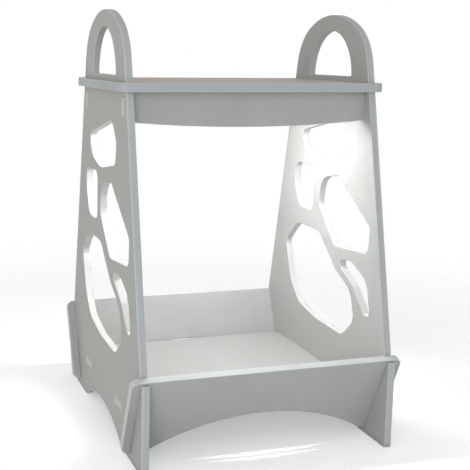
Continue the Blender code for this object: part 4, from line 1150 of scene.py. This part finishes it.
# %% [markdown]
# ## Cables
# One cable joins the two bars at their right ends, held to the plate by a saddle, and one runs from the
# cover to the rear bar. Each route is a few knots, with a short straight run into each hole, because a
# sheath can't bend at the place that holds it. They are the frame's own routes, and the finer circle only
# rounds them off.

# %% Cables
CABLE_END = np.array([0, 3.5, 6]) * MM  # straight run into a hole
CABLE_X = BAR_HALF_X - 3 * MM  # where a cable starts, inside an end cap
COVER_X, COVER_WIDE = -75 * MM, 62 * MM
COVER_CABLE = (82 * MM, 455 * MM)  # depth and height of the cable's hole in the cover

link = [(CABLE_X + step, -BAR_Y, CABLE_Z) for step in CABLE_END]
link += [(CABLE_X + CABLE_BEND, y, CABLE_Z) for y in (12 * MM - BAR_Y, -12 * MM, 12 * MM, BAR_Y - 12 * MM)]
link += [(CABLE_X + step, BAR_Y, CABLE_Z) for step in CABLE_END[::-1]]
bar_link = cable("bar_link", link, CABLE_R, cable_pvc, "link_cable")

cover_end = COVER_X - COVER_WIDE / 2 + 3 * MM
cover_y, cover_z = COVER_CABLE
supply = [(cover_end - step, cover_y, cover_z) for step in CABLE_END]
supply += [(4 * MM - CABLE_X, cover_y - 2 * MM, (cover_z + CABLE_Z) / 2),
           (-CABLE_X - CABLE_BEND, BAR_Y + 16 * MM, CABLE_Z)]
supply += [(-CABLE_X - step, BAR_Y, CABLE_Z) for step in CABLE_END[::-1]]
cable("bar_supply", supply, CABLE_R, cable_pvc, "supply_cable")
print("faces on a cable:", len(bar_link.data.polygons))

# %% [markdown]
# ### Saddle
# The saddle is a moulded strap with an eye for the cable and a foot on each side. It is a section again:
# two outlines, one inside the other, swept 8 mm along the cable.

# %% Saddle
EYE_R = CABLE_R + GAP
STRAP_R, SADDLE_WALL, SADDLE_FOOT, SADDLE_WIDE = EYE_R + 1.2 * MM, 1.2 * MM, 7 * MM, 8 * MM

top = PLATE_Z - GAP - CABLE_Z
strap = mirrored_outline([
    ((STRAP_R, -STRAP_R), STRAP_R), ((STRAP_R, top - SADDLE_WALL), 0.8 * MM),
    ((SADDLE_FOOT, top - SADDLE_WALL), 0.4 * MM), ((SADDLE_FOOT, top), 0.4 * MM)], limit=0.5)
eye = mirrored_outline([((EYE_R, -EYE_R), EYE_R), ((EYE_R, EYE_R), 0.5 * MM)], limit=0.5)
board("saddle", [wound(strap), wound(eye, hole=True)], SADDLE_WIDE,
      seat((CABLE_X + CABLE_BEND, SADDLE_WIDE / 2, CABLE_Z), (1, 0, 0), (0, 0, 1)), grey_abs, "cable_saddle",
      arris=0.25 * MM, rim=0.1 * MM)
print("eye of the saddle:", round(2 * EYE_R / MM, 1), "mm wide")

# %% [markdown]
# ### Leads
# Inside the cover, three thin silicone leads join socket, switch and cable. Nobody sees them with the cover
# on, but they are there when it comes off, and they go round each other rather than through.

# %% Leads
LEAD_R = 0.8 * MM
back = VALANCE_Y - BOARD
socket_end, switch_end = back - 5 * MM, back - 10.6 * MM
cable_x = cover_end + GAP
routes = {
    "lead_socket_to_switch": [
        (SOCKET_X + 2 * MM, socket_end, SWITCH_Z + 2 * MM),
        (SOCKET_X + 3 * MM, socket_end - 7 * MM, SWITCH_Z + 3 * MM),
        (SWITCH_X - 8 * MM, switch_end - 6 * MM, SWITCH_Z + 2 * MM),
        (SWITCH_X - 3 * MM, switch_end - 3 * MM, SWITCH_Z), (SWITCH_X - 3 * MM, switch_end, SWITCH_Z)],
    "lead_switch_to_cable": [
        (cable_x, cover_y - 0.9 * MM, cover_z), (cable_x + 6 * MM, cover_y - 3 * MM, cover_z - 2 * MM),
        (SOCKET_X + 10 * MM, cover_y - 6 * MM, SWITCH_Z - 5 * MM),
        (SWITCH_X + 2 * MM, cover_y - 4 * MM, SWITCH_Z - 3 * MM),
        (SWITCH_X + 3 * MM, switch_end, SWITCH_Z - 1 * MM)],
    "lead_socket_to_cable": [
        (cable_x, cover_y + 0.9 * MM, cover_z), (cable_x + 5 * MM, cover_y + 1.5 * MM, cover_z - 3 * MM),
        (SOCKET_X - 3 * MM, socket_end - 4 * MM, SWITCH_Z - 2 * MM),
        (SOCKET_X - 2 * MM, socket_end, SWITCH_Z - 2 * MM)],
}
for name, knots in routes.items():
    cable(name.replace("lead_", "wire_"), knots, LEAD_R, red_silicone, name)

# %% [markdown]
# ## Rays that the eye follows
# A picture's ground is white although no lamp makes it so. A lamp strong enough would burn out the stand,
# so the ground and the backdrop are brightened only for the rays that end in the eye: straight from the
# camera, off a glossy surface, or through a clear one. The light on the stand isn't changed by that.

# %% Rays that the eye follows
EYE_RAYS = ("Is Camera Ray", "Is Glossy Ray", "Is Transmission Ray")


def eye_ray(tree):
    """One for a ray that the eye follows, and zero for any other: the largest of the kinds' own marks."""
    path = add_node(tree, "ShaderNodeLightPath")
    seen = 0.0
    for kind in EYE_RAYS:
        larger = add_node(tree, "ShaderNodeMath", {"operation": "MAXIMUM"}, {0: seen, 1: path.outputs[kind]})
        seen = larger.outputs["Value"]
    return seen


print("kinds of ray that the eye follows:", len(EYE_RAYS))

# %% [markdown]
# ## Floor
# The floor is a sheet of matt white paper, which keeps the stand's soft shadow. To the eye's rays the paper
# glows a little, and it fades into the backdrop about a metre away. From below it can't be seen at all, so
# that the stand can be looked at from there.

# %% Floor
FLOOR_SIZE = 40.0  # metres, both ways
FADE_START, FADE_END = 0.5, 1.3  # metres from the middle, where the paper turns into the backdrop
PAPER_GLOW = 0.36

floor_mesh = bpy.data.meshes.new("ground")
corners = FLOOR_SIZE / 2 * np.array([(-1, -1), (1, -1), (1, 1), (-1, 1)])
floor_mesh.from_pydata(np.column_stack([corners, np.zeros(4)]).tolist(), [], [(0, 1, 2, 3)])
ground = bpy.data.objects.new("ground", floor_mesh)
bpy.context.scene.collection.objects.link(ground)
paper, tree, shader, place = new_material("matt_white_paper", "#F4F4F4", 0.9)
shader.inputs["Specular IOR Level"].default_value = 0.1
shader.inputs["Emission Color"].default_value = (1, 1, 1, 1)
watched = eye_ray(tree)
glow = add_node(tree, "ShaderNodeMath", {"operation": "MULTIPLY"}, {0: watched, 1: PAPER_GLOW})
tree.links.new(glow.outputs["Value"], shader.inputs["Emission Strength"])
away = add_node(tree, "ShaderNodeVectorMath", {"operation": "LENGTH"}, {0: place})
fade = add_node(tree, "ShaderNodeMapRange", {"interpolation_type": "SMOOTHSTEP"},
                {"Value": away.outputs["Value"], "From Min": FADE_START, "From Max": FADE_END})
below = add_node(tree, "ShaderNodeNewGeometry").outputs["Backfacing"]
hidden = add_node(tree, "ShaderNodeMath", {"operation": "MAXIMUM"}, {0: fade.outputs["Result"], 1: below})
gone = add_node(tree, "ShaderNodeMath", {"operation": "MULTIPLY"}, {0: hidden.outputs["Value"], 1: watched})
clear = add_node(tree, "ShaderNodeBsdfTransparent")
faded = add_node(tree, "ShaderNodeMixShader",
                 inputs={0: gone.outputs["Value"], 1: shader.outputs[0], 2: clear.outputs[0]})
tree.links.new(faded.outputs[0], tree.nodes["Material Output"].inputs["Surface"])
ground.data.materials.append(paper)
print("paper fades between", FADE_START, "and", FADE_END, "m from the middle")

# %% [markdown]
# ## Backdrop
# The world is two things at once: plain white where the eye sees it, also in a reflection or through a
# clear piece, and a dimmer, slightly warm lamp for everything that it lights. Paint then renders about as
# its chart colour, and the picture's ground is still white.

# %% Backdrop
WORLD_LIGHT = 0.55
world = bpy.data.worlds.new("studio")
world.use_nodes = True
bpy.context.scene.world = world
tree = world.node_tree
tree.nodes.clear()
white = add_node(tree, "ShaderNodeBackground", inputs={"Color": (1, 1, 1, 1), "Strength": 1.0})
sky = add_node(tree, "ShaderNodeBackground",
               inputs={"Color": (1, 0.985, 0.965, 1), "Strength": WORLD_LIGHT})
mixed = add_node(tree, "ShaderNodeMixShader",
                 inputs={0: eye_ray(tree), 1: sky.outputs[0], 2: white.outputs[0]})
add_node(tree, "ShaderNodeOutputWorld", inputs={"Surface": mixed.outputs[0]})
print("world as a lamp:", WORLD_LIGHT)

# %% [markdown]
# ## Soft lights
# A large source in front gives the cool light on the boards' edges. A weaker, warmer one on the left keeps
# the side board from going flat. Both are squares of about two metres, so their shadows have no hard line.

# %% Soft lights
def softbox(name, at, towards, size, power, colour):
    """A square area light that faces a point. It isn't part of the object."""
    source = bpy.data.lights.new(name, "AREA")
    source.shape, source.size, source.energy = "SQUARE", size, power
    source.color = linear(colour)[:3]
    lamp = bpy.data.objects.new(name, source)
    lamp.location = at
    lamp.rotation_euler = (Vector(towards) - Vector(at)).to_track_quat("-Z", "Y").to_euler()
    bpy.context.scene.collection.objects.link(lamp)


MIDDLE = (0, 0, 0.28)  # about half the stand's height up, in metres
softbox("key", (-1.3, -2.7, 0.9), MIDDLE, 2.0, 29.5, "#E6F2FF")
softbox("fill", (-2.5, -1.2, 0.35), MIDDLE, 1.6, 8.5, "#FFEFDC")
print("lights:", len(bpy.data.lights))

# %% [markdown]
# ## Last settings
# The Standard view shows a colour as it was written.

# %% Last settings
bpy.context.scene.view_settings.view_transform = "Standard"
